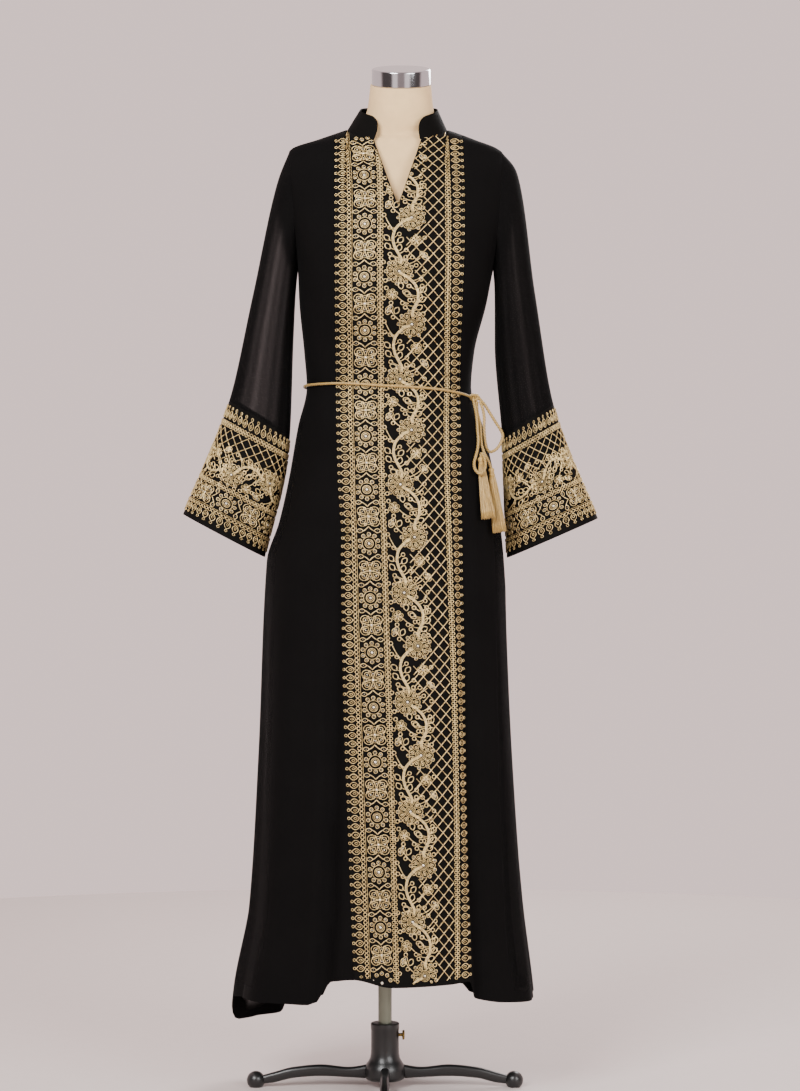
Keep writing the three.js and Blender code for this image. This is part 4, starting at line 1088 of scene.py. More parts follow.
def brackets(work, at):
    """A pointed bracket above and below each rosette, with a leaf at each end."""
    share = np.linspace(-1, 1, 17)
    leaf = lens(9.8, 6.4, 14) - [4.9, 0]
    for way in (-1, 1):
        path = np.stack([9.8 * share, way * (20.2 + 7.2 * (1 - np.abs(share)) ** 1.6)], -1)
        work.threads("band", copies(path, at), False, 1.15, 1.1)
        for side in (-1, 1):
            ends = at + np.array([side * 13.9, way * 20.6])
            work.lay("band", leaf, ends, width=0.85)
            work.stones(ends, 1.0, 0.9, 6)


SQUARE_FIT = np.array([0.9, 0.81])
QUARTERS = np.arange(4) * np.pi / 2


def squares(work, at):
    """Four-petalled squares: petals to the corners in two outlines, drops and rings between them."""

    def laid(shape, out, turn):
        return copies(copies(shape, [[out, 0]])[0], [[0, 0]], turn) * SQUARE_FIT + at[:, None]

    for turn in np.pi / 4 + QUARTERS:
        for length, width, out in ((22.4, 16.0, 1.4), (12.6, 7.4, 6.6)):
            work.threads("band", laid(pear(length, width, 16), out, turn), True, 0.8, 1.1)
        work.stones(at + heading(turn) * 14.6 * SQUARE_FIT, 1.5, 1.5, 7)
    for turn in QUARTERS:
        out, across = heading(turn), heading(turn + np.pi / 2)
        work.threads("band", laid(pear(11.2, 7.0, 12), 5.0, turn), True, 0.6)
        work.stones(at + out * 12.0 * SQUARE_FIT, 1.4, 1.2, 7)
        for side in (-1, 1):
            spot = (out * 15.8 + across * side * 5.8) * SQUARE_FIT
            work.lay("band", circle(1.9, 8), at + spot, width=0.8)
    work.stones(at, 2.6, 1.9, 8)


# The vine, from the middle of a right-hand flower: its stem by the length down it, and what grows on it
VINE, VINE_RISE, VINE_REPEAT = 121.0, 10.3, 174.0
STEM = table(
    "at u", (0, 0), (11, -18), (23, -26.4), (35.5, -28.7), (47.6, -26.4), (60, -20.4), (70, -16),
    (89, -18.9), (100, -4.5), (112, 6), (124.6, 10), (137, 9), (151, 2), (174, 0),
)
LEFT_FLOWER = (-18.9, -89)
RINGS = (
    (-3, 38.5), (-14.3, 34), (-4.5, 61), (-10, 27), (-42.3, 41.5), (-38.5, 58), (-28.7, 11.3),
    (-42.3, 4.5), (-41.5, -12.8), (-33.5, -17), (-18.9, -28), (-33, -61.2), (-8.3, -54.4), (1, -66.4),
    (6.8, -79.3), (-9, -66), (14.3, -102), (-3.5, -113), (2, -135), (-43, -74), (19, -88), (17.5, 17),
    (-31.5, -140), (16, 61.5), (-40, -104), (20, -34),
)
LEAVES = (
    (-8.5, 50.6, 150), (12.5, 42.3, 60), (11, 27, 30), (-16.5, 62, 100), (-23.2, 22, 60), (-38, -34, 130),
    (-36.5, -48, 125), (-17, -38, 50), (-19, -50.6, 70), (18, -118.5, 45), (-6, -126, 140),
    (16.5, -134, 30), (-29, -69, 150), (13, 54, 40),
)
BRANCHES = (
    ((-23, 45), (-5, 33)), ((0, -43.5), (-19.5, -61)), ((13, -67), (-10, -78)), ((-32, 22), (-17, 5)),
    ((-40, 1), (-28, -20)), ((18, -94), (2, -104)),
)
SMALL_FLOWERS = (((-30.2, 47.4), 0.3), ((6.8, -38.6), 0.7))
TREFOILS = (((-31, 21), 2.6), ((15.9, -66), 0.7))
FLOWERS_BEYOND, STEM_OFF_FLOWER, STALK_SHORTEST, STALK_LONGEST = 190, 10.5, 4, 21


def anchors(start, stop, repeat, whole):
    """Middles of the right-hand flowers. A trim that doesn't meet itself has some beyond its ends."""
    reach = 0 if whole else FLOWERS_BEYOND
    first, last = (math.ceil(place / repeat / 2) for place in (start - reach, stop + reach))
    return column(VINE, (2 * np.arange(first, last) + 1) * repeat + VINE_RISE)


def stem_u(v, repeat):
    """The stem's place across the trim, by the length up it."""
    down = (repeat + VINE_RISE - v) % (2 * repeat)
    return VINE + read(STEM, "u", down * VINE_REPEAT / (2 * repeat))


def on_vine(at, offsets, repeat):
    """Places at offsets from each anchor, whose lengths go with the repeat."""
    offsets = np.atleast_2d(np.asarray(offsets, float))[:, :2] * [1, 2 * repeat / VINE_REPEAT]
    return (at[:, None] + offsets).reshape(-1, 2)


def big_flowers(work, at):
    """Open flowers: a stone in three rings, nine petals with a satin heart, and a ring at every gap."""
    work.stones(at, 3.0, 2.8, 10)
    for radius, count in ((4.4, 14), (6.5, 16), (8.7, 20)):
        work.lay("vine", circle(radius, count), at, width=0.62, height=1.9 - radius * 0.07)
    for kind, radius, shape, width, height in (
        ("vine", 9.0, pear(10.8, 8.4, 14), 0.72, 1.3), ("satin", 11.8, pear(4.8, 2.8, 9), 0.8, 1.0),
    ):
        spots, turn = around(at, radius, 9)
        work.lay(kind, shape, spots, turn, width, height)
    ring_of_rings(work, "vine", at, 20.4, 9, np.pi / 9, (2.5, 9, 0.85, 1.0), 1.1)


def small_flowers(work, at, turn):
    """Small flowers of six double petals round a stone."""
    for angle in turn + np.arange(6) * np.pi / 3:
        spots = at + heading(angle) * 1.6
        for length, width in ((7.4, 6.2), (4.8, 3.2)):
            work.lay("vine", pear(length, width, 11), spots, angle, 0.65, 1.2)
    work.stones(at, 1.9, 1.9, 8)


def trefoils(work, at, turn):
    """Three drops with a seed in each, spread from one point."""
    for angle in turn + np.array([-0.85, 0.0, 0.85]):
        work.lay("vine", pear(9.6, 7.2, 13), at, angle, 0.9, 1.1)
        work.stones(at + heading(angle) * 6.4, 1.5, 1.3, 7)


def sagging(start, stop, count, sag):
    """Lines from each start to its stop, which hang by a sag in their middle."""
    share = np.linspace(0, 1, count)
    lines = blend(start[:, None], stop[:, None], share[:, None])
    lines[..., 1] -= sag * np.sin(share * np.pi)
    return lines


def stem(work, flowers, start, stop, repeat):
    """A satin stem of three threads, in short lengths, that stops at the flowers."""
    lengths, step = steps(start, stop, 5.0)
    v = lengths[:, None] + np.linspace(0, step * 1.1, 4)
    slope = (stem_u(v + 1, repeat) - stem_u(v - 1, repeat)) / 2
    side_on = 1 / np.sqrt(1 + slope ** 2)
    middle = np.stack([stem_u(v, repeat), v], -1)
    clear = np.linalg.norm(middle[:, :1] - flowers, axis=-1).min(1) > STEM_OFF_FLOWER
    for off in (-1.4, 0.0, 1.4):
        path = middle + np.stack([side_on, -slope * side_on], -1) * off
        work.threads("satin", path[clear], False, 0.95, 1.5 - 0.2 * abs(off))


def vine(work, start, stop, repeat, whole):
    """The vine: its stem and flowers, stalked leaves and rings on both sides, branches, small flowers
    and trefoils."""
    at = anchors(start, stop, repeat, whole)
    flowers = np.concatenate([at, on_vine(at, LEFT_FLOWER, repeat)])
    big_flowers(work, flowers)
    stem(work, flowers, start, stop, repeat)
    rings, leaves = on_vine(at, RINGS, repeat), on_vine(at, LEAVES, repeat)
    work.lay("vine", circle(2.9, 10), rings, 0.0, 1.05, 1.1)
    turn = np.radians(np.tile([turn for _, _, turn in LEAVES], len(at)))
    work.lay("vine", lens(11.6, 8.0, 15) - [5.8, 0], leaves, turn, 1.1, 1.15)
    heads = np.concatenate([rings, leaves])
    feet = np.stack([stem_u(heads[:, 1] - 5, repeat), heads[:, 1] - 5], -1)
    reach = np.linalg.norm(feet - heads, axis=-1)
    near = (reach > STALK_SHORTEST) & (reach < STALK_LONGEST)
    heads, feet = heads[near], feet[near]
    work.threads("vine", sagging(heads + unit(feet - heads) * 3.2, feet, 5, 1.6), False, 0.75)
    for branch in BRANCHES:
        head, foot = (on_vine(at, end, repeat) for end in branch)
        work.threads("vine", sagging(head, foot, 9, 2.2), False, 1.05, 1.2)
    for offset, turn in SMALL_FLOWERS:
        small_flowers(work, on_vine(at, offset, repeat), turn)
    for offset, turn in TREFOILS:
        trefoils(work, on_vine(at, offset, repeat), turn)
    return flowers


LATTICE_RIGHT, LATTICE_WIDE, LATTICE_HIGH = 172.0, 17.6, 19.9
LATTICE_BEYOND, LATTICE_OFF_FLOWER, LATTICE_OFF_STEM = 99.5, 20.5, 7.5


def lattice(work, start, stop, repeat, whole, flowers):
    """A diagonal lattice from the vine to the right-hand chain, of a thick thread one way and a thinner
    one the other. A bar is laid in short pieces, and those on the vine are left out."""
    reach = 0 if whole else LATTICE_BEYOND
    ends, high = steps(start - reach, stop + reach, LATTICE_HIGH)
    shifts = (start - stop, 0, stop - start) if whole else (0,)
    flowers = np.concatenate([flowers + [0, shift] for shift in shifts])
    u = np.linspace(LATTICE_RIGHT, VINE - 8, 28)
    for way, width, height in ((1, 1.15, 1.25), (-1, 0.85, 0.9)):
        v = ends[:, None] - way * (LATTICE_RIGHT - u) * high / LATTICE_WIDE
        bars = np.stack([np.broadcast_to(u, v.shape), v], -1)
        pieces = np.concatenate([bars[:, k:k + 4] for k in range(0, 25, 3)])
        apart = np.linalg.norm(pieces[:, :, None] - flowers, axis=-1).min((1, 2))
        beside = (pieces[..., 0] - stem_u(pieces[..., 1], repeat)).min(1)
        clear = (apart > LATTICE_OFF_FLOWER) & (beside > LATTICE_OFF_STEM)
        work.threads("lattice", pieces[clear], False, width, height)


# Where the trim's parts lie across it, and how far its bands go beyond ends that don't meet
EDGE_INSET, TWIST_AT, LEFT_CHAIN_AT, RIGHT_CHAIN_AT = 0.6, 24.3, 72.8, 178.0
BAND_AT, SQUARES_OFF, BAND_BEYOND = 48.8, 0.6, 60


def trim(work, start, stop, repeat, between, whole):
    """The whole trim, from its left edge to its right one, between two lengths. A whole trim runs round
    and meets itself."""
    drops, _ = steps(start, stop, settings().embroidery.drop_spacing / MM)
    edge_drops(work, drops, EDGE_INSET, 1)
    edge_drops(work, drops, CHART - EDGE_INSET, -1)
    twist(work, TWIST_AT, start, stop)
    chain(work, LEFT_CHAIN_AT, start, stop)
    chain(work, RIGHT_CHAIN_AT, start, stop)
    reach = 0 if whole else BAND_BEYOND
    first, last = (math.ceil(place / between) for place in (start - reach, stop + reach))
    at = column(BAND_AT, np.arange(first, last) * between)
    rosettes(work, at)
    brackets(work, at)
    squares(work, at + [SQUARES_OFF, between / 2])
    flowers = vine(work, start, stop, repeat, whole)
    lattice(work, start, stop, repeat, whole, flowers)


def thread_looks():
    """The embroidery's materials."""
    sewn = settings().embroidery
    light, dark = sewn.thread_colour, sewn.painted_shade_colour
    gold = metallic_thread("Couched metallic thread", light, dark, 0.45)
    return {
        **dict.fromkeys(("edging", "band", "vine", "lattice"), gold),
        # The satin stitch's painted shade is the thread colour darkened to 0.35 of it.
        "satin": metallic_thread("Satin stitch", sewn.satin_colour, shade(light, 0.35), 0.25),
        "stones": stones(),
    }


def route(points, per_span=14):
    """A smooth line through given points, each span a cubic whose end slopes come from the points on both
    sides, spaced by the square root of their distances."""
    points = np.asarray(points, float)
    padded = np.concatenate([[2 * points[0] - points[1]], points, [2 * points[-1] - points[-2]]])
    gaps = np.maximum(np.sqrt(np.linalg.norm(np.diff(padded, axis=0), axis=1)), 1e-4)[:, None]
    before, here, after = gaps[:-2], gaps[1:-1], gaps[2:]
    p0, p1, p2, p3 = padded[:-3], padded[1:-2], padded[2:-1], padded[3:]
    leave = ((p1 - p0) / before - (p2 - p0) / (before + here) + (p2 - p1) / here) * here
    meet = ((p2 - p1) / here - (p3 - p1) / (here + after) + (p3 - p2) / after) * here
    t = np.linspace(0, 1, per_span, endpoint=False)[:, None]
    p0, p1, leave, meet = (value[:, None] for value in (p1, p2, leave, meet))
    line = (2 * t ** 3 - 3 * t ** 2 + 1) * p0 + (t ** 3 - 2 * t ** 2 + t) * leave
    line = line + (3 * t ** 2 - 2 * t ** 3) * p1 + (t ** 3 - t ** 2) * meet
    return np.concatenate([line.reshape(-1, 3), points[-1:]])


def evenly(line, apart):
    """A line's points, taken anew at even distances."""
    along = steps_along(line, 0)
    count = max(int(round(along[-1] / apart)), 2)
    wanted = np.linspace(0, along[-1], count + 1)
    return np.stack([np.interp(wanted, along, line[:, axis]) for axis in range(3)], -1)


def frames(line):
    """Two directions across a line at each point, the first as level as it can be."""
    ahead = unit(np.gradient(line, axis=0))
    up = np.array([0.31, 0.17, 0.93])
    first = unit(np.cross(ahead, up))
    return first, np.cross(ahead, first)


CORD_SIDES, CORD_PLIES, CORD_STEP = 18, 3, 1.1
KNOT_LAY, KNOT_DEPTH, CORD_DEPTH = 9.0, 0.35, 0.45


def twisted(line, radius, lay, depth, closed=False):
    """A cord of plies that turn once in a lay, along a line, and how near each of its points is to a
    ply's back. The groove between two plies is (1 - |sin(plies * angle / 2)|)^1.5 deep, as a share of the
    depth, which is itself a share of the radius."""
    first, second = frames(line)
    angle = round_angles(CORD_SIDES)
    turn = steps_along(line, 0)[:, None] / lay * 2 * np.pi
    groove = (1 - np.abs(np.sin((angle + turn) * CORD_PLIES / 2))) ** 1.5
    across = np.cos(angle)[:, None] * first[:, None] + np.sin(angle)[:, None] * second[:, None]
    rings = line[:, None] + across * (radius * (1 - depth * groove))[..., None]
    if closed:
        return (rings.reshape(-1, 3), grid_faces(len(line), CORD_SIDES, wrap=True, loop=True)), 1 - groove
    return capped(rings, line[[0, -1]]), np.append(1 - groove, [0, 0])


def arc(centre, radius, start, stop, count):
    """Points of an arc in a profile, with its angles in degrees."""
    angle = np.radians(np.linspace(start, stop, count))
    return [tuple(place) for place in np.asarray(centre) + radius * heading(angle)]


def on_belt(degrees):
    """Points of the cord's line round the waist, half a cord and a little lift off the cloth."""
    degrees = np.asarray(degrees, float)
    z = read(BELT, "z", (degrees + 540) % 360 - 180)
    angle = np.radians(degrees)
    point = on_rings(BODY, ring_x(BODY, angle, z), z, np.where(np.cos(angle) > 0, -1, 1))
    return point + body_normal(point) * (settings().belt.diameter / MM / 2 + BELT_LIFT)


def clear_of_body(points, clearance):
    """Moves points away from the body's middle until they are clear of the cloth."""
    x, y, z = points.T
    left, right, front, power = (read(BODY, name, z) for name in ("left", "right", "front", "power"))
    middle, half = (left + right) / 2, (right - left) / 2
    across, depth = (x - middle) / half, y / front
    reach = (np.abs(across) ** power + np.abs(depth) ** power) ** (1 / power)
    grow = np.maximum((1 + clearance / front) / reach, 1)
    return np.stack([middle + across * half * grow, depth * front * grow, z], -1)


def knot_middle():
    """The middle of the knot, which stands off the cord's line."""
    end = on_belt([KNOT_ANGLE])
    return (end + body_normal(end) * KNOT_LIFT)[0]


def tassel_axis(number, knot):
    """The top of a tassel's head and the middle of its blunt end."""
    return clear_of_body(np.asarray(TASSELS[number], float) + knot, TASSEL_CLEAR)


# The lamps: name, place in metres, width and share of the key lamp's power
LAMPS = (
    ("Key", (-1.6, -3.2, 2.7), 1.6, 1.0), ("Fill", (2.3, -2.9, 1.7), 1.8, 0.55),
    ("Back", (1.2, 2.6, 2.8), 1.6, 0.5),
)
LAMPS_AIM = Vector((0, 0, 1.0))
FLOOR_RADIUS, FLOOR_THICK = 2600, 2
# The room behind the camera: how bright it is, by how far to the side
ROOM_LIGHT, ROOM_SHADES = 1.34, ((0.0, 0.4), (0.2, 0.4), (0.28, 1.3), (0.5, 1.3), (0.62, 0.1), (1.0, 0.1))


def surroundings(pale):
    """Light from all round: even in front of the camera, in bright and dark strips behind it."""
    world = bpy.data.worlds.new("Surroundings")
    world.use_nodes = True
    tree = world.node_tree
    toward = add(tree, "ShaderNodeSeparateXYZ", {
        "Vector": add(tree, "ShaderNodeTexCoord").outputs["Generated"],
    })
    sideways = add(tree, "ShaderNodeMath", {0: toward.outputs["X"]}, operation="ABSOLUTE")
    room = add(tree, "ShaderNodeValToRGB", {"Fac": sideways.outputs[0]})
    stops = room.color_ramp.elements
    for place, bright in ROOM_SHADES[1:-1]:
        stops.new(place).color = (*shade(pale, bright), 1)
    for end, (_, bright) in ((0, ROOM_SHADES[0]), (-1, ROOM_SHADES[-1])):
        stops[end].color = (*shade(pale, bright), 1)
    behind = add(tree, "ShaderNodeMapRange", {
        "Value": toward.outputs["Y"], "From Min": -0.2, "From Max": 0.0,
    })
    tone = mix_colours(tree, behind.outputs["Result"], pale, pale)
    tree.links.new(room.outputs["Color"], tone.node.inputs[6])
    tree.links.new(tone, tree.nodes["Background"].inputs["Color"])
    tree.nodes["Background"].inputs["Strength"].default_value = ROOM_LIGHT
    return world


class StagePieces(Operator):
    """Make the floor, the lamps and the camera"""

    bl_idname = "jalabiya.stage"
    bl_label = "Stage"

    def execute(self, context):
        """The camera at the photograph's height and distance, a pale floor and three soft lamps."""
        stage = settings().stage
        scene = context.scene

        def put(name, data, place):
            made = bpy.data.objects.new(name, data)
            made.location = place
            scene.collection.objects.link(made)
            return made

        view = bpy.data.cameras.new("Camera")
        view.lens = LENS
        view.sensor_width = 36
        view.sensor_fit = "AUTO"
        scene.camera = put("Camera", view, CAMERA * MM)
        scene.camera.rotation_euler = (math.pi / 2, 0, 0)
        rim = [(FLOOR_RADIUS, -FLOOR_THICK), (FLOOR_RADIUS, 0)]
        mesh = mesh_of("floor", turned([(0, -FLOOR_THICK), *rim, (0, 0)], 96))
        mesh.materials.append(hard("Pale floor", stage.floor_colour, 0.7, 0.0, 2.0, 0.1, 0.03))
        put("floor", mesh, (0, 0, 0))
        scene.world = surroundings(stage.wall_colour)
        for name, place, width, share in LAMPS:
            lamp = bpy.data.lights.new(name, "AREA")
            lamp.energy = stage.key_power * share
            lamp.size = width
            made = put(name, lamp, place)
            made.rotation_euler = (LAMPS_AIM - made.location).to_track_quat("-Z", "Y").to_euler()
        return {"FINISHED"}


# The knot: its trefoil's width, depth and height, and its place from the knot's middle
KNOT_WIDE, KNOT_DEEP, KNOT_HIGH, KNOT_SHIFT = 2.5, -2.4, 2.7, (-1, -2, -2.4)

# A tassel: how far in the cord goes, the outline of the head's foot and crown, and its bindings
CORD_IN_TASSEL = np.arange(4, 33, 4)
HEAD_FOOT = [(0, -14), (4.6, -13.5), (4.9, -12), (4.7, -10.6)]
HEAD_CROWN = [(4.4, -5.2), (4.9, -3.6), (4.4, -1.7), (3.1, -0.5), (1.6, 0), (0, 0)]
BINDINGS, BINDING_PITCH, BINDING_RADIUS = 5, 0.9, 0.55
STRAND_POINTS, SKIRT_FROM, SKIRT_NARROW, SKIRT_WIDE, SKIRT_UNEVEN = 9, 10.5, 4.1, 11.2, 3.0
TASSEL_SEED, INNER_SHADE = 41, 0.35


def knot_line(knot):
    """The line of the knot, a trefoil about its middle, turned to face the front."""
    t = np.linspace(0, 2 * np.pi, 90, endpoint=False)
    trefoil = np.stack([
        KNOT_WIDE * (np.sin(t) + 2 * np.sin(2 * t)), KNOT_DEEP * np.sin(3 * t),
        KNOT_HIGH * (np.cos(t) - 2 * np.cos(2 * t)),
    ], -1)
    c, s = heading(math.radians(KNOT_FACING))
    return trefoil @ np.array([[c, s, 0], [-s, c, 0], [0, 0, 1]]) + knot + KNOT_SHIFT


def tassel_head(head, side, deep, down):
    """The bound head, turned about the tassel's own axis."""
    outline = list(HEAD_FOOT)
    for k in range(BINDINGS):
        outline += arc((3.7, -9.7 + k * BINDING_PITCH), BINDING_RADIUS, -70, 70, 4)
    points, faces = turned(outline + HEAD_CROWN, 20)
    points = head + points[:, :1] * side + points[:, 1:2] * deep - points[:, 2:] * down
    return points, [block[:, ::-1] for block in faces]


def tassel_strands(number, length, head, side, deep, down):
    """The skirt's strands as one mesh, and how lit each of its points is. They stand on a sunflower's
    spiral, spread as they fall, sway a little and end unevenly."""
    count = settings().belt.strands
    number_of = np.arange(count)
    out = np.sqrt((number_of + 0.5) / count)
    angle = number_of * np.pi * (3 - math.sqrt(5))
    fall = np.linspace(0, 1, STRAND_POINTS)
    chance = np.random.default_rng(TASSEL_SEED + number)
    ends = length - chance.uniform(0, SKIRT_UNEVEN, count)
    drop = SKIRT_FROM + (ends[:, None] - SKIRT_FROM) * fall
    spread = blend(SKIRT_NARROW, SKIRT_WIDE, fall ** 0.75)
    flatten = blend(1.0, 0.5, np.clip(fall * 3, 0, 1))
    sway = chance.uniform(-1.0, 1.0, (2, count, 1)) * np.sin(fall * np.pi * 1.6) * 1.1
    across = (out * np.cos(angle))[:, None] * spread + sway[0]
    depth = (out * np.sin(angle))[:, None] * spread * flatten + sway[1] * 0.5
    lines = head + across[..., None] * side + depth[..., None] * deep + drop[..., None] * down
    corner = round_angles(3)
    ring = np.cos(corner)[:, None] * side + np.sin(corner)[:, None] * deep
    thick = blend(0.75, 0.85, fall)[None, :, None, None]
    strands = (lines[:, :, None] + ring * thick).reshape(-1, 3)
    each = STRAND_POINTS * 3
    caps = np.array([[0, 1, 2], [each - 1, each - 2, each - 3]])
    walls = grid_faces(STRAND_POINTS, 3, wrap=True)[:, ::-1]
    faces = [repeated(walls, count, each), repeated(caps, count, each)]
    return (strands, faces), np.tile(1 - INNER_SHADE * (out[:, None] < 0.5), each).ravel()


class BeltPieces(Operator):
    """Make the twisted cord belt, its knot, bow, free ends and tassels"""

    bl_idname = "jalabiya.belt"
    bl_label = "Belt"

    def execute(self, context):
        """Cords of three plies along the belt's line and the hanging routes, and two tassels."""
        belt = settings().belt
        look = satin_cord()
        radius, lay = belt.diameter / MM / 2, belt.lay / MM
        knot = knot_middle()

        def satin(name, parts, node, ridge):
            return piece(name, parts, look, None, node=node, values={"ridge": ridge})

        def cord(name, line, node, pull=1.06):
            line = evenly(line, CORD_STEP)
            parts, ridge = twisted(line, radius * pull, lay, CORD_DEPTH)
            return satin(name, parts, node, ridge), line

        whole_turn = np.linspace(KNOT_ANGLE + KNOT_TURN, KNOT_ANGLE + 360 - KNOT_TURN, 37)
        cord("belt_cord", route(on_belt(whole_turn)), "belt_ring", 0.9)
        parts, ridge = twisted(knot_line(knot), radius, KNOT_LAY, KNOT_DEPTH, closed=True)
        satin("knot", parts, "belt_knot", ridge)
        tassels, insides = [], []
        for number, name in enumerate(("first_tassel", "second_tassel")):
            head, foot = tassel_axis(number, knot)
            length = np.linalg.norm(foot - head)
            down = (foot - head) / length
            side = unit(np.cross(down, [0, 1, 0]))
            axes = head, side, np.cross(side, down), down
            bound = tassel_head(*axes)
            strands, lit = tassel_strands(number, length, *axes)
            ridge = np.concatenate([np.ones(len(bound[0])), lit])
            tassels.append((satin(name, joined(bound, strands), f"tassel_{number + 1}", ridge),))
            insides.append(head + unit(foot - head) * CORD_IN_TASSEL[:, None])
        for name, points, node, end, on_it, inside in (
            ("bow_cord", BOW, "belt_bow", "object", (), np.zeros((0, 3))),
            ("first_end_cord", FIRST_END, "belt_end_1", "knot", tassels[0], insides[0]),
            ("second_end_cord", SECOND_END, "belt_end_2", "knot", tassels[1], insides[1]),
        ):
            line = route(clear_of_body(np.asarray(points, float) + knot, CORD_CLEAR))
            made, line = cord(name, np.concatenate([line, inside]), node)
            length = steps_along(line, 0)[-1] * MM
        return {"FINISHED"}


class BodyPieces(Operator):
    """Make the body of the garment: front, sides, back, lining and collar"""

    bl_idname = "jalabiya.body"
    bl_label = "Body"

    def execute(self, context):
        """Shells of cloth over the body's surface."""
        cloth = settings().cloth
        crepe = chiffon("Crepe chiffon of the body")
        lining = dark_cloth("Lining twill", cloth.lining_colour, 0.55, 0.9)
        ground = dark_cloth("Trim ground", cloth.ground_colour, 0.7, 1.1)
        facing = dark_cloth("Interfaced crepe", cloth.ground_colour, 0.75, 1.0)
        thin, thick = cloth.chiffon_thickness / MM, cloth.trim_thickness / MM
        for node, grid, side in (
            ("front_left", side_grid("left"), -1), ("front_right", side_grid("right"), -1),
            ("back", back_grid(), 1),
        ):
            parts = shell(grid, thin)
            cloth_piece(node, parts, crepe, values={"cover": body_cover(parts[0], side)})
        halves = [panel_half("left"), panel_half("right")]
        both = joined(*(shell(half, thick) for half in halves))
        cloth_piece("front_panel", both, ground)
        grid = lining_grid()
        cloth_piece("lining", shell(grid, thin, wrap=True), lining)
        grid = collar_grid()
        cloth_piece("collar", shell(grid, COLLAR_WALL), facing)
        return {"FINISHED"}


SLEEVE_END, SLEEVE_ROWS, CUFF_ROWS = 1.004, 90, 40


class SleevePieces(Operator):
    """Make the sheer sleeves and the grounds of their cuffs"""

    bl_idname = "jalabiya.sleeves"
    bl_label = "Sleeves"

    def execute(self, context):
        """Tubes of cloth with long folds, and a firmer cuff below each."""
        cloth = settings().cloth
        crepe = chiffon("Crepe chiffon of the sleeves")
        ground = dark_cloth("Cuff ground", cloth.ground_colour, 0.7, 1.1)
        thin, thick = cloth.chiffon_thickness / MM, cloth.trim_thickness / MM
        for which in ("left", "right"):
            grid, cover = sleeve_grid(which, 0, SLEEVE_END, SLEEVE_ROWS)
            values = {"cover": np.tile(np.ravel(cover), 2)}
            parts = shell(grid, thin, wrap=True)
            cloth_piece(f"sleeve_{which}", parts, crepe, values=values)
            grid, _ = sleeve_grid(which, 1, 2, CUFF_ROWS)
            parts = shell(grid, thick, wrap=True)
            cloth_piece(f"cuff_{which}", parts, ground)
        return {"FINISHED"}


class EmbroideryPieces(Operator):
    """Make the couched threads, satin stitch and stones of the front and the cuffs"""

    bl_idname = "jalabiya.embroidery"
    bl_label = "Embroidery"

    def execute(self, context):
        """The same trim on three charts: up the front, and round each cuff."""
        sewn = settings().embroidery
        looks = thread_looks()
        width, height = sewn.thread_width / MM, sewn.thread_height / MM
        repeat = sewn.repeat / MM
        front = FrontChart()
        work = Stitches(front, width, height)
        trim(work, front.v[0], front.v[-1], repeat, repeat, False)
        work.make("front", looks)
        for which in ("left", "right"):
            work = Stitches(CuffChart(which), width * CUFF_THREAD, height)
            trim(work, 0, CUFF_ROUND, CUFF_ROUND / 6, CUFF_ROUND / 5, True)
            work.make(f"cuff_{which}", looks)
        return {"FINISHED"}


FORM_FOOT, FORM_SHOULDER, FORM_SIDES, CAP_BEVEL = 860, 1530, 96, 2.5


class FormPieces(Operator):
    """Make the dress form and the cap on its neck"""

    bl_idname = "jalabiya.dress_form"
    bl_label = "Dress form"

    def execute(self, context):
        """Level rings of the form's table, closed at its foot round the pole's socket, and a cap."""
        angle = np.linspace(0, 2 * np.pi, FORM_SIDES + 1)[:-1]
        heights = np.concatenate([
            np.linspace(FORM_FOOT, FORM_SHOULDER, 110), np.linspace(FORM_SHOULDER + 1, NECK_TOP, 90),
        ])
        z = heights[:, None] * np.ones_like(angle)
        side = np.where(np.cos(angle) > 0, -1, 1) * np.ones_like(z)
        grid = on_rings(FORM, ring_x(FORM, angle, z), z, side, False)
        lean = np.clip((z - NECK_FOOT) / (NECK_TOP - NECK_FOOT), 0, 1) * math.tan(NECK_TILT)
        grid[..., 2] += grid[..., 1] * lean
        hole = POLE_RADIUS + RUNNING_GAP
        ring = np.stack([POLE_X + hole * np.sin(angle), -hole * np.cos(angle)], -1)
        socket = np.stack([
            np.concatenate([ring, np.full((FORM_SIDES, 1), height)], 1)
            for height in (POLE_TOP + 0.3, FORM_FOOT)
        ])
        rings = np.concatenate([socket, grid])
        parts = capped(rings, [rings[0].mean(0), rings[-1].mean(0)])
        made = piece("form_body", parts, linen(), 40, node="form")
        profile = [(0, 0), (CAP_RADIUS - 1, 0), (CAP_RADIUS, 1), (CAP_RADIUS, CAP_HEIGHT - CAP_BEVEL)]
        profile += arc((CAP_RADIUS - CAP_BEVEL, CAP_HEIGHT - CAP_BEVEL), CAP_BEVEL, 10, 80, 7)
        profile += [(CAP_RADIUS - 4, CAP_HEIGHT), (0, CAP_HEIGHT)]
        points, faces = turned(profile, 96)
        c, s = math.cos(NECK_TILT), math.sin(NECK_TILT)
        points = points @ np.array([[1, 0, 0], [0, c, s], [0, -s, c]]) + [CAP_X, 0, NECK_TOP + 0.3]
        chrome = hard("Chromed steel", linear("#c9c9cd"), 0.13, 1.0, 3.0, 0.02, 0.04)
        piece("cap", (points, faces), chrome, 35, node="neck_cap")
        return {"FINISHED"}


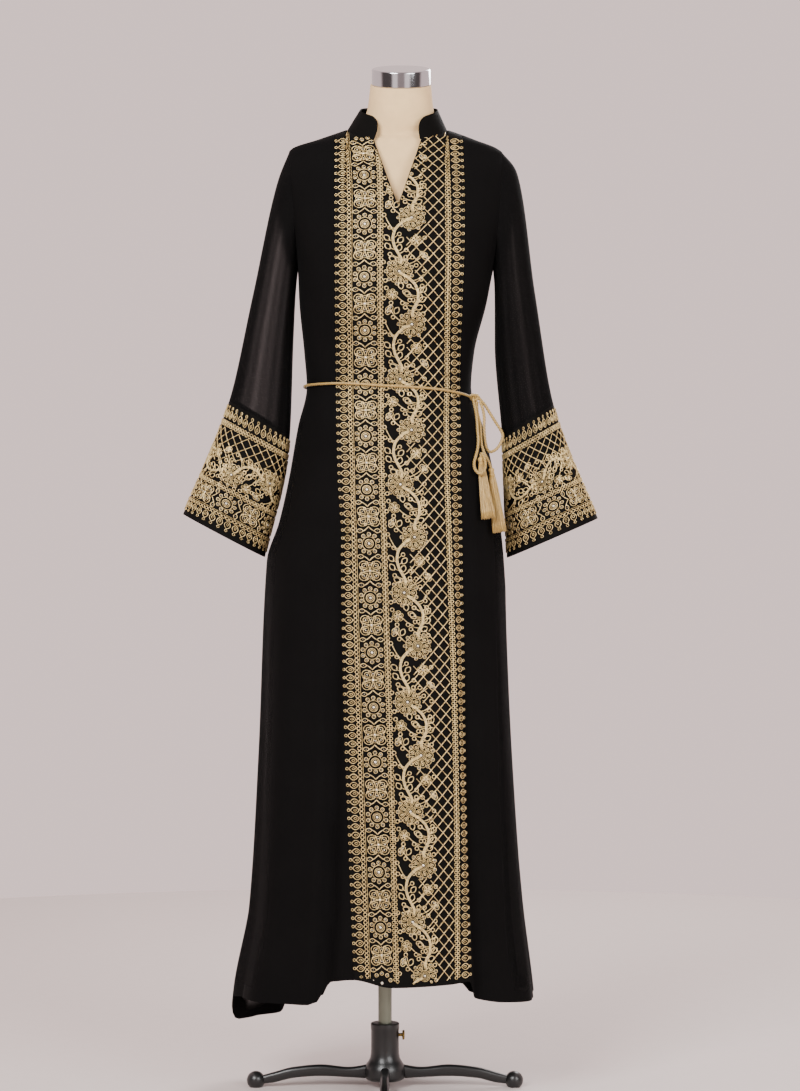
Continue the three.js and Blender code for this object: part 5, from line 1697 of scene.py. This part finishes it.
# The pole's bevel, and the outlines and sizes of the hub, the legs, the balls and the screw
POLE_BEVEL = 0.8
HUB = [
    (11.6, 12), (26, 12), *arc((26, 20), 8, -80, 0, 7), (33.6, 30), (32, 36), (28, 42), (24.6, 48),
    (23.2, 56), (23, 64), (23, 94), (23.5, 96), *arc((21.8, 104.2), 1.8, 0, 80, 5), (21, 106),
]
HUB_BORE_TOP = (11.6, 106)
LEG_FROM, LEG_TO, LEG_STEPS, LEG_SIDES, LEG_TIPS = 18, 203, 48, 20, ((18, 26.5), (203, 12))
LEG_HALF_WIDTH, LEG_NARROWER, LEG_SQUARE = 7.5, 1.3, 0.72
BALL_RADIUS, BALL_FLAT, BALL_OUT = 15, 10, 213
SCREW_HEIGHT, KNURLS, KNURL_DEPTH = 86, 24, 0.03
SCREW = (
    (0, 11.5), (2.6, 11.5), (2.6, 28.5), (6.6, 28.5), (7.4, 28.9), (8, 29.6), (8, 31.2), (7.4, 32.0),
    (6.4, 32.5), (3.2, 32.5), (2.8, 32.2), (0, 32.2),
)


def leg(quarter):
    """One swept leg of the base, with a rounded section, towards one of four sides."""
    out = np.linspace(LEG_FROM, LEG_TO, LEG_STEPS)
    low, high = read(LEG, "low", out), read(LEG, "high", out)
    rounded = [np.sign(f) * np.abs(f) ** LEG_SQUARE for f in heading(round_angles(LEG_SIDES)).T]
    wide = LEG_HALF_WIDTH - LEG_NARROWER * np.clip((out - 150) / 53, 0, 1)
    c, s = heading(quarter)
    sideways = wide[:, None] * rounded[0]
    height = (low + high)[:, None] / 2 + (high - low)[:, None] / 2 * rounded[1]
    x, y = POLE_X + c * out[:, None] + s * sideways, s * out[:, None] - c * sideways
    tips = np.array([[POLE_X + c * r, s * r, z] for r, z in LEG_TIPS])
    return capped(np.stack([x, y, height], -1), tips)


class StandPieces(Operator):
    """Make the pole, the cast base, its ball feet and the clamp screw"""

    bl_idname = "jalabiya.stand"
    bl_label = "Stand"

    def execute(self, context):
        """A turned pole and hub, four swept legs with a rounded section, four balls and a screw."""
        stand = settings().stand
        paint = hard("Stove-enamelled steel", stand.pole_colour, 0.38, 0.1, 1.5, 0.05, 0.12)
        iron = hard("Enamelled cast iron", stand.iron_colour, 0.34, 0.0, 1.4, 0.25, 0.25)
        brass = hard("Turned brass", linear("#9a7f46"), 0.3, 1.0, 0.8, 0.05, 0.2)
        middle, narrow = (POLE_X, 0), POLE_RADIUS - POLE_BEVEL
        outline = [(0, POLE_FOOT), (narrow, POLE_FOOT), (POLE_RADIUS, POLE_FOOT + POLE_BEVEL)]
        outline += [(POLE_RADIUS, z) for z in np.linspace(POLE_FOOT + 20, POLE_TOP - POLE_BEVEL, 24)]
        outline += [(narrow, POLE_TOP), (0, POLE_TOP)]
        piece("pole_tube", turned(outline, 64, middle), paint, 35, "pole", "pole")
        rings = spun([HUB_BORE_TOP, *HUB], 72, middle)
        hub = (rings.reshape(-1, 3), [grid_faces(*rings.shape[:2], wrap=True, loop=True)])
        casting = joined(hub, *(leg(quarter) for quarter in QUARTERS))
        piece("base_casting", casting, iron, 50, "base", "base")
        rise = math.sqrt(BALL_RADIUS ** 2 - BALL_FLAT ** 2)
        start = -math.degrees(math.asin(rise / BALL_RADIUS))
        ball = [(0, 0), *arc((0, rise), BALL_RADIUS, start, 88, 22), (0, rise + BALL_RADIUS)]
        for number, quarter in enumerate(QUARTERS):
            name = f"ball_foot_{number + 1}"
            foot = turned(ball, 40, np.add(middle, heading(quarter) * BALL_OUT))
            piece(f"{name}_ball", foot, iron, 50, "base", name)
        points, faces = turned(SCREW, 48)
        x, y, z = points.T
        knurl = 1 + KNURL_DEPTH * (np.hypot(x, y) > 7.3) * np.sign(np.sin(np.arctan2(y, x) * KNURLS))
        points = np.stack([POLE_X + z, y * knurl, SCREW_HEIGHT - x * knurl], -1)
        piece("clamp_knob", (points, faces), brass, 30, "screw", "clamp_screw")
        return {"FINISHED"}


class JalabiyaSettings(PropertyGroup):
    """Settings of every operator."""

    cloth: PointerProperty(type=JalabiyaCloth)
    embroidery: PointerProperty(type=JalabiyaEmbroidery)
    belt: PointerProperty(type=JalabiyaBelt)
    stand: PointerProperty(type=JalabiyaStand)
    stage: PointerProperty(type=JalabiyaStage)


GROUPS = (
    ("stage", StagePieces), ("belt", BeltPieces), ("cloth", BodyPieces), ("cloth", SleevePieces),
    ("embroidery", EmbroideryPieces), ("stand", FormPieces), ("stand", StandPieces),
)


class JALABIYA_PT_pieces(Panel):
    """The settings and the operators, in the order in which they run"""

    bl_label = "Jalabiya"
    bl_idname = "JALABIYA_PT_pieces"
    bl_space_type = "VIEW_3D"
    bl_region_type = "UI"
    bl_category = "Jalabiya"

    def draw(self, context):
        """Each group of settings once, and a button for each operator."""
        for name in dict.fromkeys(group for group, _ in GROUPS):
            box = self.layout.box()
            group = getattr(context.scene.jalabiya, name)
            for setting in group.bl_rna.properties:
                if setting.identifier not in ("rna_type", "name"):
                    box.prop(group, setting.identifier)
            for _, operator in (pair for pair in GROUPS if pair[0] == name):
                box.operator(operator.bl_idname)


CLASSES = (
    JalabiyaCloth, JalabiyaEmbroidery, JalabiyaBelt, JalabiyaStand, JalabiyaStage, JalabiyaSettings,
    *(operator for _, operator in GROUPS), JALABIYA_PT_pieces,
)


def register():
    """Registers the settings, the operators and the panel."""
    for one in CLASSES:
        bpy.utils.register_class(one)
    bpy.types.Scene.jalabiya = PointerProperty(type=JalabiyaSettings)


def unregister():
    """Takes them away again."""
    del bpy.types.Scene.jalabiya
    for one in reversed(CLASSES):
        bpy.utils.unregister_class(one)


def main():
    """Makes every piece."""
    register()
    for _, operator in GROUPS:
        group, name = operator.bl_idname.split(".")
        getattr(getattr(bpy.ops, group), name)()


if __name__ == "__main__":
    main()
